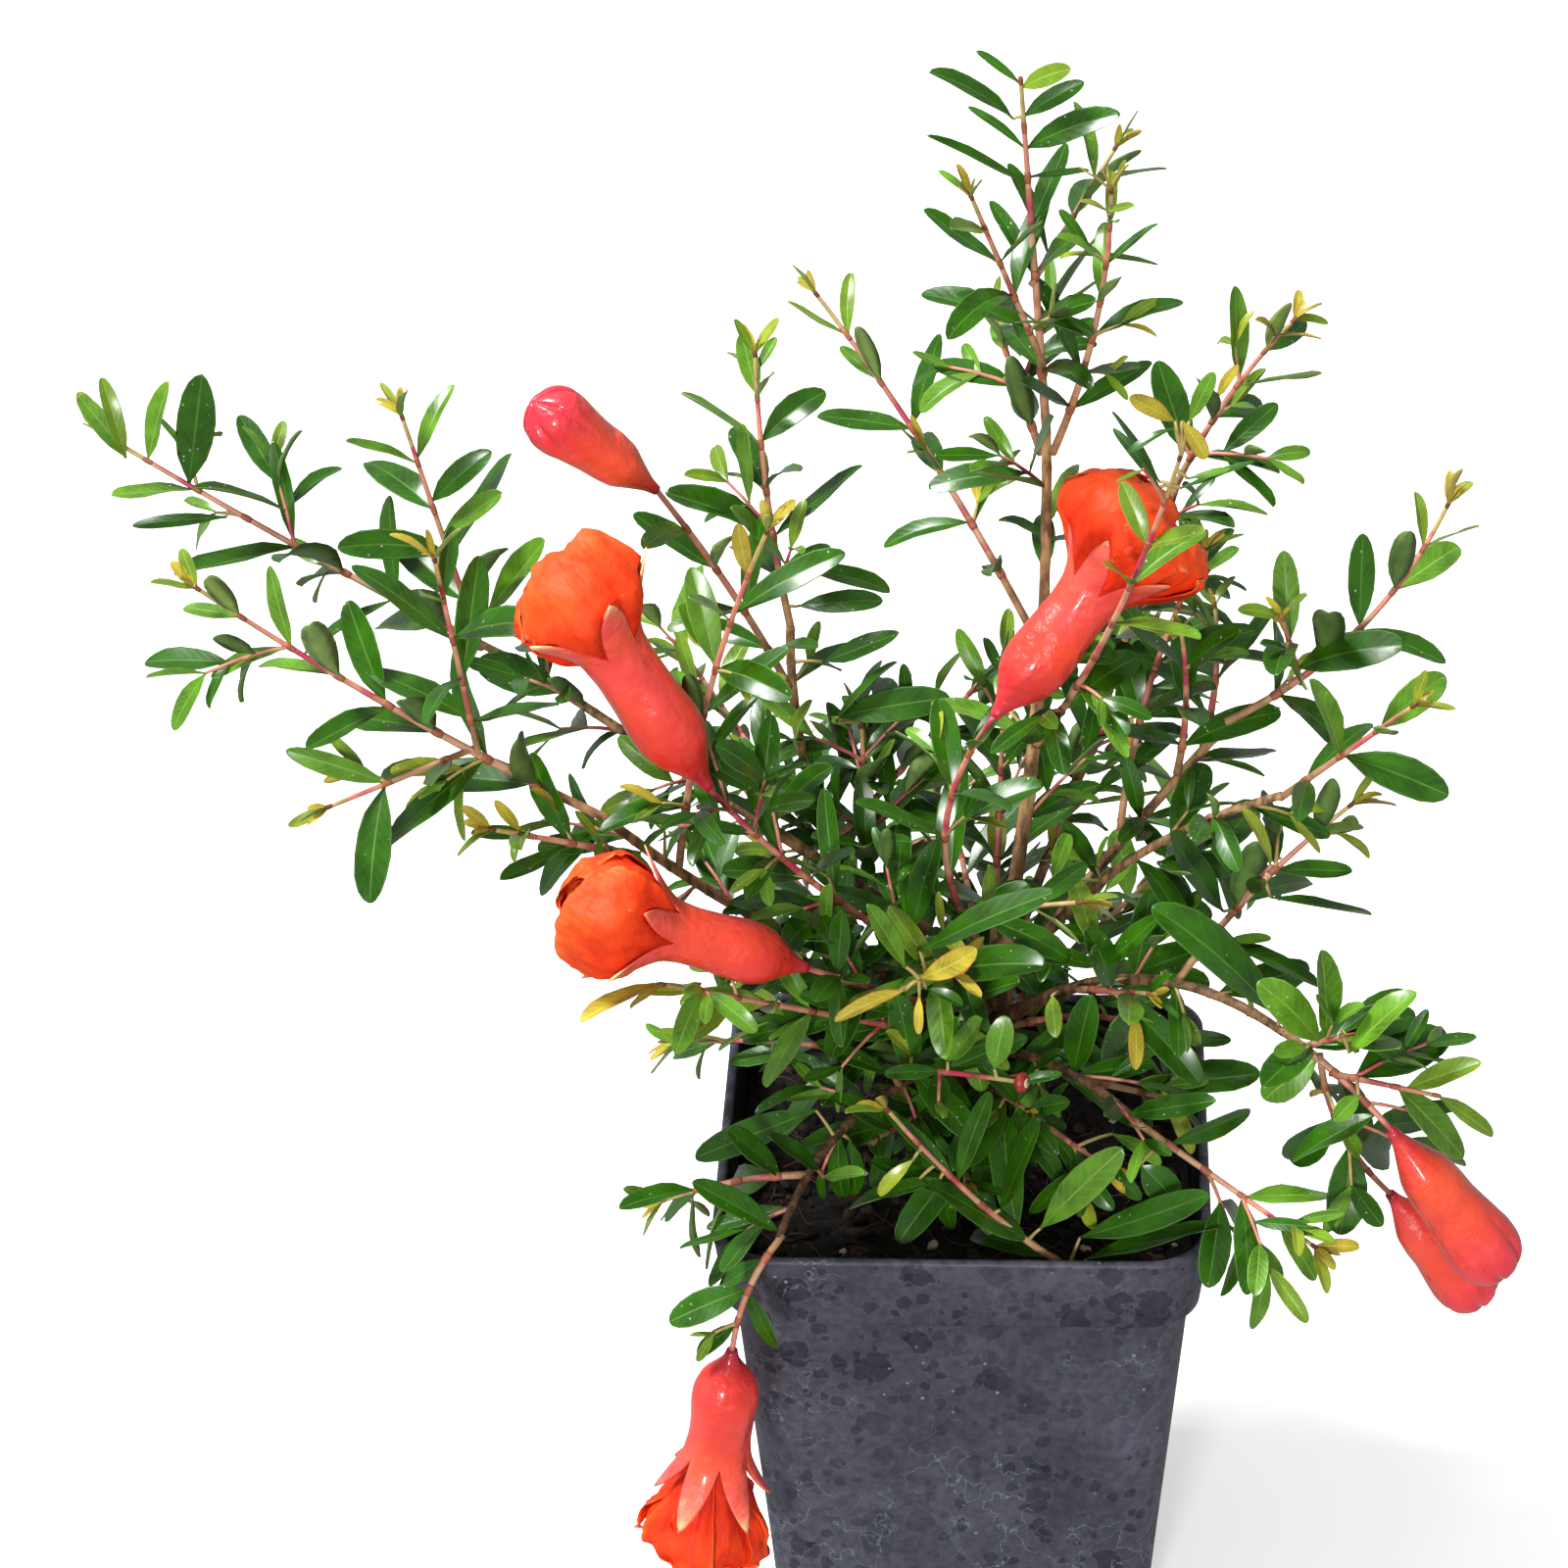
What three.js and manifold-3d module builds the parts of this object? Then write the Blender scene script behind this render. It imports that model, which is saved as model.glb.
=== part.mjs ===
// A dwarf pomegranate in flower, in its square nursery pot. Millimetres, +Z up.
// The origin is the middle of the pot's flat underside, and -Y is the front.
import * as THREE from 'three';
import { mergeVertices } from 'three/addons/utils/BufferGeometryUtils.js';
import Module from 'manifold-3d';

const wasm = await Module();
wasm.setup();

// Driving dimensions.
const gap = 0.3;
const finestEdge = 0.006;
const finestTriangle = 0.0008; // height of the flattest triangle
const pot = {
  height: 80, // underside to rim
  rim: 76, // outer width at the rim
  lip: 1.6, // thickness of the rolled edge
  band: 13, // height of the stiff band under the rim
  bandFoot: 72.8, // outer width at the band's lower edge
  shoulder: 69.6, // outer width just under the band
  foot: 58.6, // outer width at the underside
  wall: 1.1,
  floor: 1.4,
  corner: 9, // radius of the upright corners
  arcSteps: 4,
  edge: 0.5, // small bevel along the rim, the underside and the band
  drainRadius: 3,
  drainSides: 8,
  drainSpread: 17, // from the middle to each drain hole
};
const soil = {
  top: 70.8,
  dip: 1.1, // how much lower it lies along the walls
  flat: 7, // half width of the level place under the trunk
  topRings: 3,
  roughness: 0.5,
  seed: 5,
};
const trunk = {
  top: [6, 2, 110],
  foot: 2.7,
  tip: 1.7,
  flare: 1.9, // what the root flare adds to the radius at the soil
  flareReach: 0.1, // share of the height over which the flare fades
  roots: 4,
  rootShare: 0.3, // how far the roots stand out of the flare
  sides: 10,
  steps: 8,
};
const bough = { sides: 5, steps: 6 };
const twig = {
  sides: 3,
  steps: 4,
  foot: 0.66, // radius at the foot of a shoot
  sideFoot: 0.54, // and at the foot of its side twigs
  tip: 0.42,
  bare: 0.16, // share of a shoot below its first leaves
  sideBare: 0.18,
  seed: 100,
};
const leaf = {
  widthShare: 0.41, // width against length, wide because the outline is a plain rhombus
  thickness: 0.34,
  widest: 0.47, // how far along the leaf its widest place lies
  fold: 0.28, // how far the two halves rise from the midrib, against the half width
  droop: 0.12,
  turn: 35, // degrees, the first pair's turn round a shoot that gives none of its own
  turnJitter: 24,
  spread: 58, // degrees off the twig, at the foot of a shoot
  youngSpread: 32, // and at its growing tip
  spreadJitter: 18,
  stagger: 0.45, // the two leaves of a pair sit this far apart along the twig
  lengthJitter: 0.15,
  low: 0.82, // length of a shoot's lowest leaves against its largest
  young: 0.5, // how much shorter the leaves at the growing tip are
  sunk: [0.21, 0.13, 0.29, 0.04], // depths of the root in its twig, tried in turn
  budClear: 2, // no leaf stands nearer than this to a bud or a flower
};
const bud = {
  sides: 8,
  radius: 4,
  profile: [
    [0, 0], [0, 0.7], [0.12, 1.6], [0.32, 3.1], [0.5, 3.9], [0.66, 3.5], [0.82, 4.1], [0.95, 2.9], [1, 0],
  ],
};
const bloom = {
  calyxShare: 0.64, // length of the calyx against the flower's
  mouth: 6.6, // radius of the calyx at its mouth
  petals: 9.4, // radius of the ball of petals
  petalsAt: 0.76, // where the ball's middle lies along the flower
  crumple: [0.84, 1.1],
  sepals: 6,
  notch: 0.1, // depth of the notches between the sepals, against the calyx's length
  seed: 300,
};
const calyxProfile = [
  [0, 0], [0, 0.7], [0.14, 1.7], [0.38, 3.6], [0.62, 5.2], [0.78, 5.4], [1, bloom.mouth], [0.92, 0],
];
// How far a new leaf keeps from what is there already.
const clearances = { ownLeaf: 0.25, ownLimb: -0.5, leaf: 0.9, limb: 0.35, pot: 0.7 };
const colours = { pot: 0x2b2d33, soil: 0x2c2019, bark: 0x80593a, foliage: 0x2f6f2e };

// The boughs. Each stands on another limb at a share of that limb's length and ends at its tip.
// Its middle bows off the straight line, and thick and thin are its radii at foot and tip.
const boughs = {
  leader_bough: { on: 'trunk', at: 1, tip: [12, 14, 194], bow: [2, 0, 0], thick: 1.5, thin: 0.9 },
  right_bough: { on: 'trunk', at: 0.95, tip: [40, 6, 149], bow: [-1, 0, 0], thick: 1.2, thin: 0.8 },
  lower_right_bough: { on: 'trunk', at: 0.84, tip: [47, -16, 149], bow: [-4, 1, 4], thick: 1, thin: 0.7 },
  arching_bough: { on: 'trunk', at: 0.73, tip: [48, -26, 114], bow: [0, 1, 8], thick: 1.2, thin: 0.8 },
  front_right_bough: { on: 'trunk', at: 0.6, tip: [27, -24, 96], bow: [0, 0, 3], thick: 1, thin: 0.7 },
  back_right_bough: { on: 'trunk', at: 0.88, tip: [32, 40, 171], bow: [1, 0, 0], thick: 1.1, thin: 0.7 },
  back_left_bough: { on: 'trunk', at: 0.68, tip: [-27, 24, 155], bow: [-7, 0, -5], thick: 1.2, thin: 0.8 },
  high_left_bough: { on: 'trunk', at: 0.92, tip: [-69, 18, 152], bow: [0, 0, 0], thick: 1.2, thin: 0.8 },
  low_left_bough: { on: 'trunk', at: 0.77, tip: [-53, -14, 143], bow: [-2, 0, -3], thick: 1.3, thin: 0.9 },
  front_left_bough: { on: 'trunk', at: 0.5, tip: [-27, -42, 87], bow: [-3, 1, 5], thick: 1, thin: 0.7 },
};

// The masses of foliage. Each is one shoot that grows on from a bough or the trunk, with its own
// twigs, leaves, and buds or blossom. leaf is the length of its largest leaves, every the
// distance between its pairs of leaves, turn the first pair's turn round the shoot in degrees.
const masses = {
  leader_top: {
    on: 'leader_bough', at: 1, tip: [8, 18, 248], leaf: 16, every: 7, turn: 26,
    twigs: [{ at: 0.2, tip: [1, 6, 235] }, { at: 0.43, tip: [22, 28, 233] }],
  },
  leader_right: { on: 'leader_bough', at: 0.97, tip: [21, 4, 237], bow: [2, 0, 0], leaf: 15, every: 6.5 },
  leader_left: { on: 'leader_bough', at: 0.96, tip: [4, 26, 207], leaf: 15, every: 6.5 },
  upper_left: { on: 'leader_bough', at: 0.62, tip: [-23, 36, 206], bow: [1, 0, 1], leaf: 16, every: 8.5 },
  upper_right: { on: 'leader_bough', at: 0.42, tip: [31, -22, 208], bow: [1, -5, 0], leaf: 16, every: 8.5 },
  back_right: { on: 'back_right_bough', at: 1, tip: [50, 48, 196], bow: [-1, 0, 1], leaf: 15, every: 7.5 },
  right_end: {
    on: 'right_bough', at: 1, tip: [72, 16, 181], bow: [3, 0, -3], leaf: 17, every: 8.5,
    twigs: [{ at: 0.25, tip: [47, 0, 170] }],
  },
  right_inner: { on: 'right_bough', at: 0.55, tip: [36, 18, 172], bow: [-2, 0, 0], leaf: 16, every: 8.5 },
  right_fork_back: { on: 'right_bough', at: 0.9, tip: [38, 26, 158], bow: [1, 0, 0], leaf: 15, every: 6.5 },
  right_fork_front: { on: 'right_bough', at: 0.8, tip: [32, -4, 170], bow: [1, 0, 0], leaf: 17, every: 7.5 },
  lower_right_end: { on: 'lower_right_bough', at: 1, tip: [65, -26, 170], leaf: 16, every: 7.5 },
  right_low: { on: 'arching_bough', at: 0.66, tip: [58, -8, 143], bow: [-1, 0, 1], leaf: 17, every: 7 },
  arching_end: {
    on: 'arching_bough', at: 1, tip: [64, -34, 102], bow: [0, 0, 1], leaf: 17, every: 5.5,
    twigs: [
      { at: 0.45, tip: [70, -38, 111] },
      { at: 0.3, tip: [65, -26, 85], bow: [-2, 0, -1], bud: [80, -24, 64] },
      { at: 0.15, tip: [56, -36, 120] },
    ],
    bud: [82, -34, 76],
  },
  front_right_end: { on: 'front_right_bough', at: 1, tip: [53, -40, 85], leaf: 16, every: 6.5 },
  front_right_side: { on: 'front_right_bough', at: 0.62, tip: [33, -10, 91], leaf: 19, every: 5.5 },
  right_wall: { on: 'trunk', at: 0.66, tip: [34, 6, 88], bow: [3, 0, 5], leaf: 18, every: 6.5 },
  back_left: { on: 'back_left_bough', at: 1, tip: [-32, 34, 197], bow: [-1, 0, 0], leaf: 17, every: 7.5 },
  back_left_inner: { on: 'back_left_bough', at: 0.5, tip: [6, 36, 144], leaf: 17, every: 7.5 },
  left_bud: {
    on: 'back_left_bough', at: 0.88, tip: [-46, 10, 186], bow: [1, 0, 0], leaf: 16, every: 8.5,
    bud: [-63, 4, 203],
  },
  left_front: { on: 'low_left_bough', at: 0.8, tip: [-27, -26, 198], bow: [-2, 0, 1], leaf: 16, every: 9 },
  low_left_end: {
    on: 'low_left_bough', at: 1, tip: [-111, -18, 184], bow: [-1, 0, -1], leaf: 18, every: 8.5,
    twigs: [{ at: 0.3, tip: [-75, -24, 192] }, { at: 0.32, tip: [-92, -30, 154] }],
  },
  low_left_side: { on: 'low_left_bough', at: 0.9, tip: [-69, -24, 147], leaf: 15, every: 6.5 },
  high_left_end: {
    on: 'high_left_bough', at: 1, tip: [-132, 28, 186], bow: [0, 0, -1], leaf: 19, every: 8.5,
    twigs: [{ at: 0.08, tip: [-85, 24, 191] }],
  },
  flower_right: {
    on: 'trunk', at: 0.98, tip: [5, -8, 158], bow: [-7, 0, 0], leaf: 18, every: 8.5,
    flower: [30, 5, 186],
  },
  flower_left: {
    on: 'trunk', at: 0.86, tip: [-37, -26, 156], bow: [-3, 0, -1], leaf: 17, every: 7.5,
    flower: [-56, -32, 193],
  },
  flower_front: {
    on: 'trunk', at: 0.72, tip: [-23, -28, 126], leaf: 18, every: 7.5,
    flower: [-57, -36, 141],
  },
  flower_hanging: {
    on: 'front_left_bough', at: 1, tip: [-34, -48.5, 71], bow: [-1, -2, 2], leaf: 12,
    every: 5.5, flower: [-40, -48, 29],
  },
  young_left: { on: 'trunk', at: 0.62, tip: [-44, -36, 128], leaf: 16, every: 7.5 },
  cut_shoot: { on: 'front_left_bough', at: 0.3, tip: [9, -34, 110], bow: [-6, 0, 2], leaf: 15, every: 6.5 },
  front_runner: {
    on: 'soil', from: [20, -30, 71.2], tip: [-11, -38, 108], bow: [0, 0, -3], leaf: 18, every: 7.5,
  },
  left_rim: { on: 'front_left_bough', at: 0.78, tip: [-45, -34, 88], bow: [0, 0, 1], leaf: 17, every: 5.5 },
  centre_back: { on: 'trunk', at: 0.97, tip: [6, 24, 146], bow: [0, 0, 0], leaf: 17, every: 7.5 },
  left_wall: { on: 'trunk', at: 0.42, tip: [-45, 0, 94], bow: [0, 0, 3], leaf: 17, every: 7.5 },
  front_high: { on: 'trunk', at: 0.91, tip: [-6, -34, 128], bow: [-1, 1, 0], leaf: 19, every: 6.5 },
  front_young: { on: 'trunk', at: 0.8, tip: [18, -22, 134], bow: [-10, -4, 6], leaf: 17, every: 7.5 },
  front_low: { on: 'trunk', at: 0.38, tip: [-13, -24, 93], leaf: 19, every: 5.5 },
  front_middle: {
    on: 'trunk', at: 0.47, tip: [10, -25, 99], leaf: 18, every: 6,
    twigs: [{ at: 0.3, tip: [22, -27, 90] }],
  },
  front_centre: { on: 'trunk', at: 0.3, tip: [1, -27, 87], leaf: 18, every: 5.5 },
  centre_right: { on: 'arching_bough', at: 0.35, tip: [28, -25, 120], leaf: 18, every: 6 },
  centre_left: { on: 'trunk', at: 0.57, tip: [-28, -6, 114], leaf: 19, every: 5.5 },
  centre_high: { on: 'back_left_bough', at: 0.35, tip: [-16, 17, 142], leaf: 19, every: 5.5 },
  rear_left_low: { on: 'trunk', at: 0.54, tip: [-34, 44, 104], leaf: 18, every: 6.5 },
  rear_middle: { on: 'trunk', at: 0.78, tip: [-4, 62, 104], bow: [0, 0, 3], leaf: 18, every: 6.5 },
  rear_right_low: { on: 'trunk', at: 0.64, tip: [38, 46, 106], leaf: 18, every: 6.5 },
  rear_left_high: { on: 'back_left_bough', at: 0.42, tip: [-46, 54, 134], leaf: 18, every: 6.5 },
  rear_right_high: { on: 'back_right_bough', at: 0.4, tip: [32, 64, 140], leaf: 18, every: 6.5 },
  rear_drooping: { on: 'trunk', at: 0.42, tip: [8, 54, 86], bow: [0, 0, 5], leaf: 17, every: 6.5 },
};

const worldUp = new THREE.Vector3(0, 0, 1);
const vector = (values) => new THREE.Vector3(...values);
const degrees = (angle) => THREE.MathUtils.degToRad(angle);
const mix = THREE.MathUtils.lerp;

// Seeded numbers from 0 to 1: a 32-bit counter, stirred by shifts and products.
function seededRandom(seed) {
  let counter = seed >>> 0;
  return () => {
    counter = (counter + 0x6d2b79f5) >>> 0;
    let stirred = Math.imul(counter ^ (counter >>> 15), counter | 1);
    stirred ^= stirred + Math.imul(stirred ^ (stirred >>> 7), stirred | 61);
    return ((stirred ^ (stirred >>> 14)) >>> 0) / 2 ** 32;
  };
}

// A closed geometry as a solid: shared corners are merged, and triangles of no area, as at the
// poles of a lathe, are dropped.
function toSolid(geometry) {
  geometry.deleteAttribute('normal');
  geometry.deleteAttribute('uv');
  const merged = mergeVertices(geometry, 1e-4);
  const corners = merged.index.array;
  const kept = [];
  for (let i = 0; i < corners.length; i += 3) {
    const [a, b, c] = [corners[i], corners[i + 1], corners[i + 2]];
    if (a !== b && b !== c && c !== a) kept.push(a, b, c);
  }
  return new wasm.Manifold(new wasm.Mesh({
    numProp: 3,
    vertProperties: new Float32Array(merged.attributes.position.array),
    triVerts: new Uint32Array(kept),
  }));
}

function toGeometry(solid) {
  const { numProp, vertProperties, triVerts } = solid.getMesh();
  const count = vertProperties.length / numProp;
  const positions = new Float32Array(count * 3);
  for (let i = 0; i < count; i++) {
    for (let k = 0; k < 3; k++) positions[i * 3 + k] = vertProperties[i * numProp + k];
  }
  const geometry = new THREE.BufferGeometry();
  geometry.setAttribute('position', new THREE.BufferAttribute(positions, 3));
  geometry.setIndex(new THREE.BufferAttribute(new Uint32Array(triVerts), 1));
  geometry.computeVertexNormals();
  return geometry;
}

function moveVertices(geometry, move) {
  const position = geometry.attributes.position;
  const point = new THREE.Vector3();
  for (let i = 0; i < position.count; i++) {
    point.fromBufferAttribute(position, i);
    move(point, i);
    position.setXYZ(i, point.x, point.y, point.z);
  }
  return geometry;
}

// A lathe whose rings are squares with round corners. The profile lists [half width, height].
function squareLathe(profile) {
  const perSide = pot.arcSteps + 1;
  const rings = profile.map(([half, height]) => new THREE.Vector2(half, height));
  const geometry = new THREE.LatheGeometry(rings, 4 * perSide);
  return moveVertices(geometry, (point, i) => {
    const [half, height] = profile[i % profile.length];
    const step = Math.floor(i / profile.length) % (4 * perSide);
    const quarter = Math.floor(step / perSide);
    const angle = degrees(90) * (quarter + (step % perSide) / pot.arcSteps);
    const corner = Math.min(pot.corner, half);
    const middle = degrees(90) * quarter + degrees(45);
    const reach = Math.SQRT2 * (half - corner);
    point.set(
      reach * Math.cos(middle) + corner * Math.cos(angle),
      reach * Math.sin(middle) + corner * Math.sin(angle),
      height,
    );
  });
}

// Half width of the pot's inner face at a height.
function innerHalf(height) {
  const bandTop = pot.rim / 2 - pot.lip;
  const bandFoot = pot.bandFoot / 2 - pot.wall;
  const shoulder = pot.shoulder / 2 - pot.wall;
  const foot = pot.foot / 2 - pot.wall;
  const bandLevel = pot.height - pot.band;
  if (height > bandLevel) return mix(bandFoot, bandTop, (height - bandLevel) / pot.band);
  return mix(foot, shoulder, (height - pot.floor) / (bandLevel - pot.wall - pot.floor));
}

function buildPot() {
  const bandLevel = pot.height - pot.band;
  const { edge } = pot;
  const shell = toSolid(squareLathe([
    [0, 0],
    [pot.foot / 2 - edge, 0],
    [pot.foot / 2, edge],
    [pot.shoulder / 2, bandLevel - edge],
    [pot.bandFoot / 2, bandLevel],
    [pot.rim / 2, pot.height - edge],
    [pot.rim / 2 - edge, pot.height],
    [innerHalf(pot.height), pot.height],
    [innerHalf(bandLevel + 0.01), bandLevel],
    [pot.shoulder / 2 - pot.wall, bandLevel - pot.wall],
    [pot.foot / 2 - pot.wall, pot.floor],
    [0, pot.floor],
  ]));
  const drains = [45, 135, 225, 315].map((angle) => {
    const deep = 4 * pot.floor;
    const hole = new THREE.CylinderGeometry(pot.drainRadius, pot.drainRadius, deep, pot.drainSides);
    hole.rotateX(degrees(90));
    hole.translate(
      pot.drainSpread * Math.SQRT2 * Math.cos(degrees(angle)),
      pot.drainSpread * Math.SQRT2 * Math.sin(degrees(angle)),
      0,
    );
    return toSolid(hole);
  });
  return drains.reduce((solid, hole) => solid.subtract(hole), shell);
}

// The root ball: it fills the pot, with a rough top that dips a little to the walls.
function buildSoil() {
  const random = seededRandom(soil.seed);
  const bandLevel = pot.height - pot.band - pot.wall;
  const edge = innerHalf(soil.top) - gap;
  const profile = [
    [0, pot.floor + gap],
    [innerHalf(pot.floor) - gap, pot.floor + gap],
    [innerHalf(bandLevel) - gap, bandLevel],
  ];
  for (let ring = 0; ring < soil.topRings; ring++) {
    const share = 1 - ring / soil.topRings;
    profile.push([mix(soil.flat, edge, share), soil.top - soil.dip * share]);
  }
  profile.push([soil.flat, soil.top], [0, soil.top]);
  const bumps = Array.from({ length: 4 * (pot.arcSteps + 1) * profile.length }, () => random() - 0.5);
  return toSolid(moveVertices(squareLathe(profile), (point, i) => {
    const onTop = i % profile.length > 2 && i % profile.length < profile.length - 2;
    if (onTop) point.z += soil.roughness * bumps[i % bumps.length];
  }));
}

// A limb: a cylinder bent along a curve, its radius a function of the share of its length and
// of the angle round it.
function limbSolid(curve, radiusAt, sides, steps, twist = 0) {
  const frames = curve.computeFrenetFrames(steps, false);
  const cylinder = new THREE.CylinderGeometry(1, 1, 1, sides, steps).rotateY(twist);
  return toSolid(moveVertices(cylinder, (point) => {
    const step = Math.round((point.y + 0.5) * steps);
    const share = step / steps;
    const radius = radiusAt(share, Math.atan2(point.z, point.x));
    const across = frames.normals[step].clone().multiplyScalar(point.x * radius);
    const other = frames.binormals[step].clone().multiplyScalar(-point.z * radius);
    point.copy(curve.getPointAt(share)).add(across).add(other);
  }));
}

// A point on the straight-sided limb that stands for a curve.
function onLimb(curve, share) {
  const step = Math.min(Math.floor(share * twig.steps), twig.steps - 1);
  const from = curve.getPointAt(step / twig.steps);
  return from.lerp(curve.getPointAt((step + 1) / twig.steps), share * twig.steps - step);
}

function limbCurve(start, tip, bow) {
  const middle = start.clone().lerp(tip, 0.5).addScaledVector(bow, 2);
  return new THREE.QuadraticBezierCurve3(start, middle, tip);
}

// Where a limb starts: just past its parent's tip, or just off its parent's side.
function limbStart(row, parent, footRadius) {
  if (row.from) return vector(row.from);
  const from = parent.curve.getPointAt(row.at);
  const along = parent.curve.getTangentAt(row.at);
  const bow = vector(row.bow ?? [0, 0, 0]);
  const heading = limbCurve(from, vector(row.tip), bow).getTangentAt(0);
  const lean = heading.dot(along);
  if (row.at === 1) {
    return from.addScaledVector(along, gap + footRadius * Math.sqrt(1 - lean * lean));
  }
  const side = heading.addScaledVector(along, -lean).normalize();
  return from.addScaledVector(side, parent.radiusAt(row.at, 0) + gap + footRadius * Math.abs(lean));
}

// Closest distance between two straight segments.
function segmentDistance([a, b], [c, d]) {
  const first = b.clone().sub(a);
  const second = d.clone().sub(c);
  const between = a.clone().sub(c);
  const firstSquare = first.lengthSq();
  const secondSquare = second.lengthSq();
  const firstDot = first.dot(between);
  const secondDot = second.dot(between);
  const cross = first.dot(second);
  const spread = firstSquare * secondSquare - cross * cross;
  let s = spread > 1e-9 ? (cross * secondDot - firstDot * secondSquare) / spread : 0;
  s = THREE.MathUtils.clamp(s, 0, 1);
  let t = (cross * s + secondDot) / secondSquare;
  if (t < 0 || t > 1) {
    t = THREE.MathUtils.clamp(t, 0, 1);
    s = THREE.MathUtils.clamp((cross * t - firstDot) / firstSquare, 0, 1);
  }
  return between.addScaledVector(first, s).addScaledVector(second, -t).length();
}

// What fills the space so far. Each thing is a few straight ribs with a thickness.
const filled = [];

function asThing(owner, kind, ribs, radius) {
  const sphere = new THREE.Sphere().setFromPoints(ribs.flat());
  return { owner, kind, ribs, radius, sphere };
}

function limbThing(owner, curve, radius, steps) {
  const points = curve.getSpacedPoints(steps);
  const ribs = points.slice(1).map((point, i) => [points[i], point]);
  return asThing(owner, 'limb', ribs, radius);
}

function isClear(thing, clearance) {
  return filled.every((other) => {
    const wanted = thing.radius + other.radius + clearance(other);
    const apart = thing.sphere.center.distanceTo(other.sphere.center);
    if (apart > thing.sphere.radius + other.sphere.radius + wanted) return true;
    return thing.ribs.every((rib) => other.ribs.every((its) => segmentDistance(rib, its) > wanted));
  });
}

// Whether a point keeps clear of the pot's walls and of the soil.
function clearOfPot(point) {
  const margin = clearances.pot;
  if (point.z > pot.height + margin) return true;
  const half = Math.max(Math.abs(point.x), Math.abs(point.y));
  const cornerReach = Math.hypot(
    Math.max(Math.abs(point.x) - (pot.rim / 2 - pot.corner), 0),
    Math.max(Math.abs(point.y) - (pot.rim / 2 - pot.corner), 0),
  );
  const outside = half > pot.rim / 2 + margin || cornerReach > pot.corner + margin;
  if (outside) return true;
  const inside = half < innerHalf(Math.max(point.z, soil.top)) - margin
    && cornerReach < pot.corner - pot.lip - margin;
  return inside && point.z > soil.top + margin + soil.roughness;
}

// One leaf: a thin octahedron from its root to its tip, folded up along the midrib.
function leafShape(root, direction, normal, length) {
  const width = leaf.widthShare * length;
  const across = new THREE.Vector3().crossVectors(normal, direction);
  const place = (along, side, rise) => root.clone()
    .addScaledVector(direction, along * length)
    .addScaledVector(across, (side * width) / 2)
    .addScaledVector(normal, rise);
  const foldRise = (leaf.fold * width) / 2;
  const left = place(leaf.widest, 1, foldRise);
  const right = place(leaf.widest, -1, foldRise);
  const tip = place(1, 0, -leaf.droop * length);
  const build = () => toSolid(moveVertices(new THREE.OctahedronGeometry(1), (point) => {
    const rise = (point.z * leaf.thickness) / 2 + Math.abs(point.y) * foldRise;
    const fall = point.x > 0.5 ? leaf.droop * length : 0;
    const along = Math.abs(point.x) > 0.5 ? (point.x + 1) / 2 : leaf.widest;
    point.copy(place(along, point.y, rise - fall));
  }));
  return { root, left, right, tip, build };
}

function leafThing(owner, shape) {
  const neck = shape.root.clone().lerp(shape.tip, 0.2);
  const ribs = [
    [neck, shape.tip], [neck, shape.left], [neck, shape.right],
    [shape.left, shape.tip], [shape.right, shape.tip], [shape.left, shape.right],
  ];
  return asThing(owner, 'leaf', ribs, leaf.thickness / 2);
}

// The leaves of one shoot: pairs set crosswise along it, smaller and more upright to its tip,
// with their upper faces turned to the tip and the light.
function leavesAlong(curve, row, random, bare) {
  const reach = curve.getLength() * (1 - bare);
  const pairs = Math.max(2, Math.round(reach / row.every));
  const leaves = [];
  for (let pair = 0; pair <= pairs; pair++) {
    const share = pair / pairs;
    const at = bare + (1 - bare) * share;
    const along = curve.getTangentAt(at);
    const across = new THREE.Vector3(0.23, 0.11, 1).cross(along).normalize();
    const turn = degrees((row.turn ?? leaf.turn) + 90 * pair + leaf.turnJitter * (random() - 0.5));
    for (const half of [0, 1]) {
      const side = across.clone().applyAxisAngle(along, turn + Math.PI * half);
      const jitter = leaf.spreadJitter * (random() - 0.5);
      const spread = degrees(mix(leaf.spread, leaf.youngSpread, share) + jitter);
      const swell = mix(leaf.low, 1, Math.sin(Math.PI * Math.min(1, 0.25 + share)));
      const young = 1 - leaf.young * share ** 3;
      const length = row.leaf * swell * young * mix(1 - leaf.lengthJitter, 1 + leaf.lengthJitter, random());
      const shift = (leaf.stagger * (half - 0.5)) / curve.getLength();
      const foot = onLimb(curve, THREE.MathUtils.clamp(at + shift, 0.01, 0.99));
      const direction = along.clone().multiplyScalar(Math.cos(spread));
      direction.addScaledVector(side, Math.sin(spread));
      const normal = along.clone().multiplyScalar(0.7).addScaledVector(worldUp, 0.6);
      normal.addScaledVector(direction, -normal.dot(direction)).normalize();
      leaves.push({ foot, direction, normal, length });
    }
  }
  return leaves;
}

// A body of revolution along a line from foot to end. The profile lists [share, radius], and
// notch, where it is not 0, draws in every second side of the mouth by that share.
function turnedSolid(foot, end, profile, sides, notch, spin) {
  const length = foot.distanceTo(end);
  const rings = profile.map(([share, radius]) => new THREE.Vector2(radius, share * length));
  const geometry = new THREE.LatheGeometry(rings, sides);
  const turn = new THREE.Quaternion().setFromUnitVectors(
    new THREE.Vector3(0, 1, 0),
    end.clone().sub(foot).normalize(),
  );
  const last = profile.length - 2;
  return toSolid(moveVertices(geometry.rotateY(spin), (point, i) => {
    const ring = i % profile.length;
    const side = Math.floor(i / profile.length) % sides;
    if (ring === last && side % 2) {
      point.x *= 1 - notch;
      point.z *= 1 - notch;
      point.y -= notch * length;
    }
    point.applyQuaternion(turn).add(foot);
  }));
}

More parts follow.
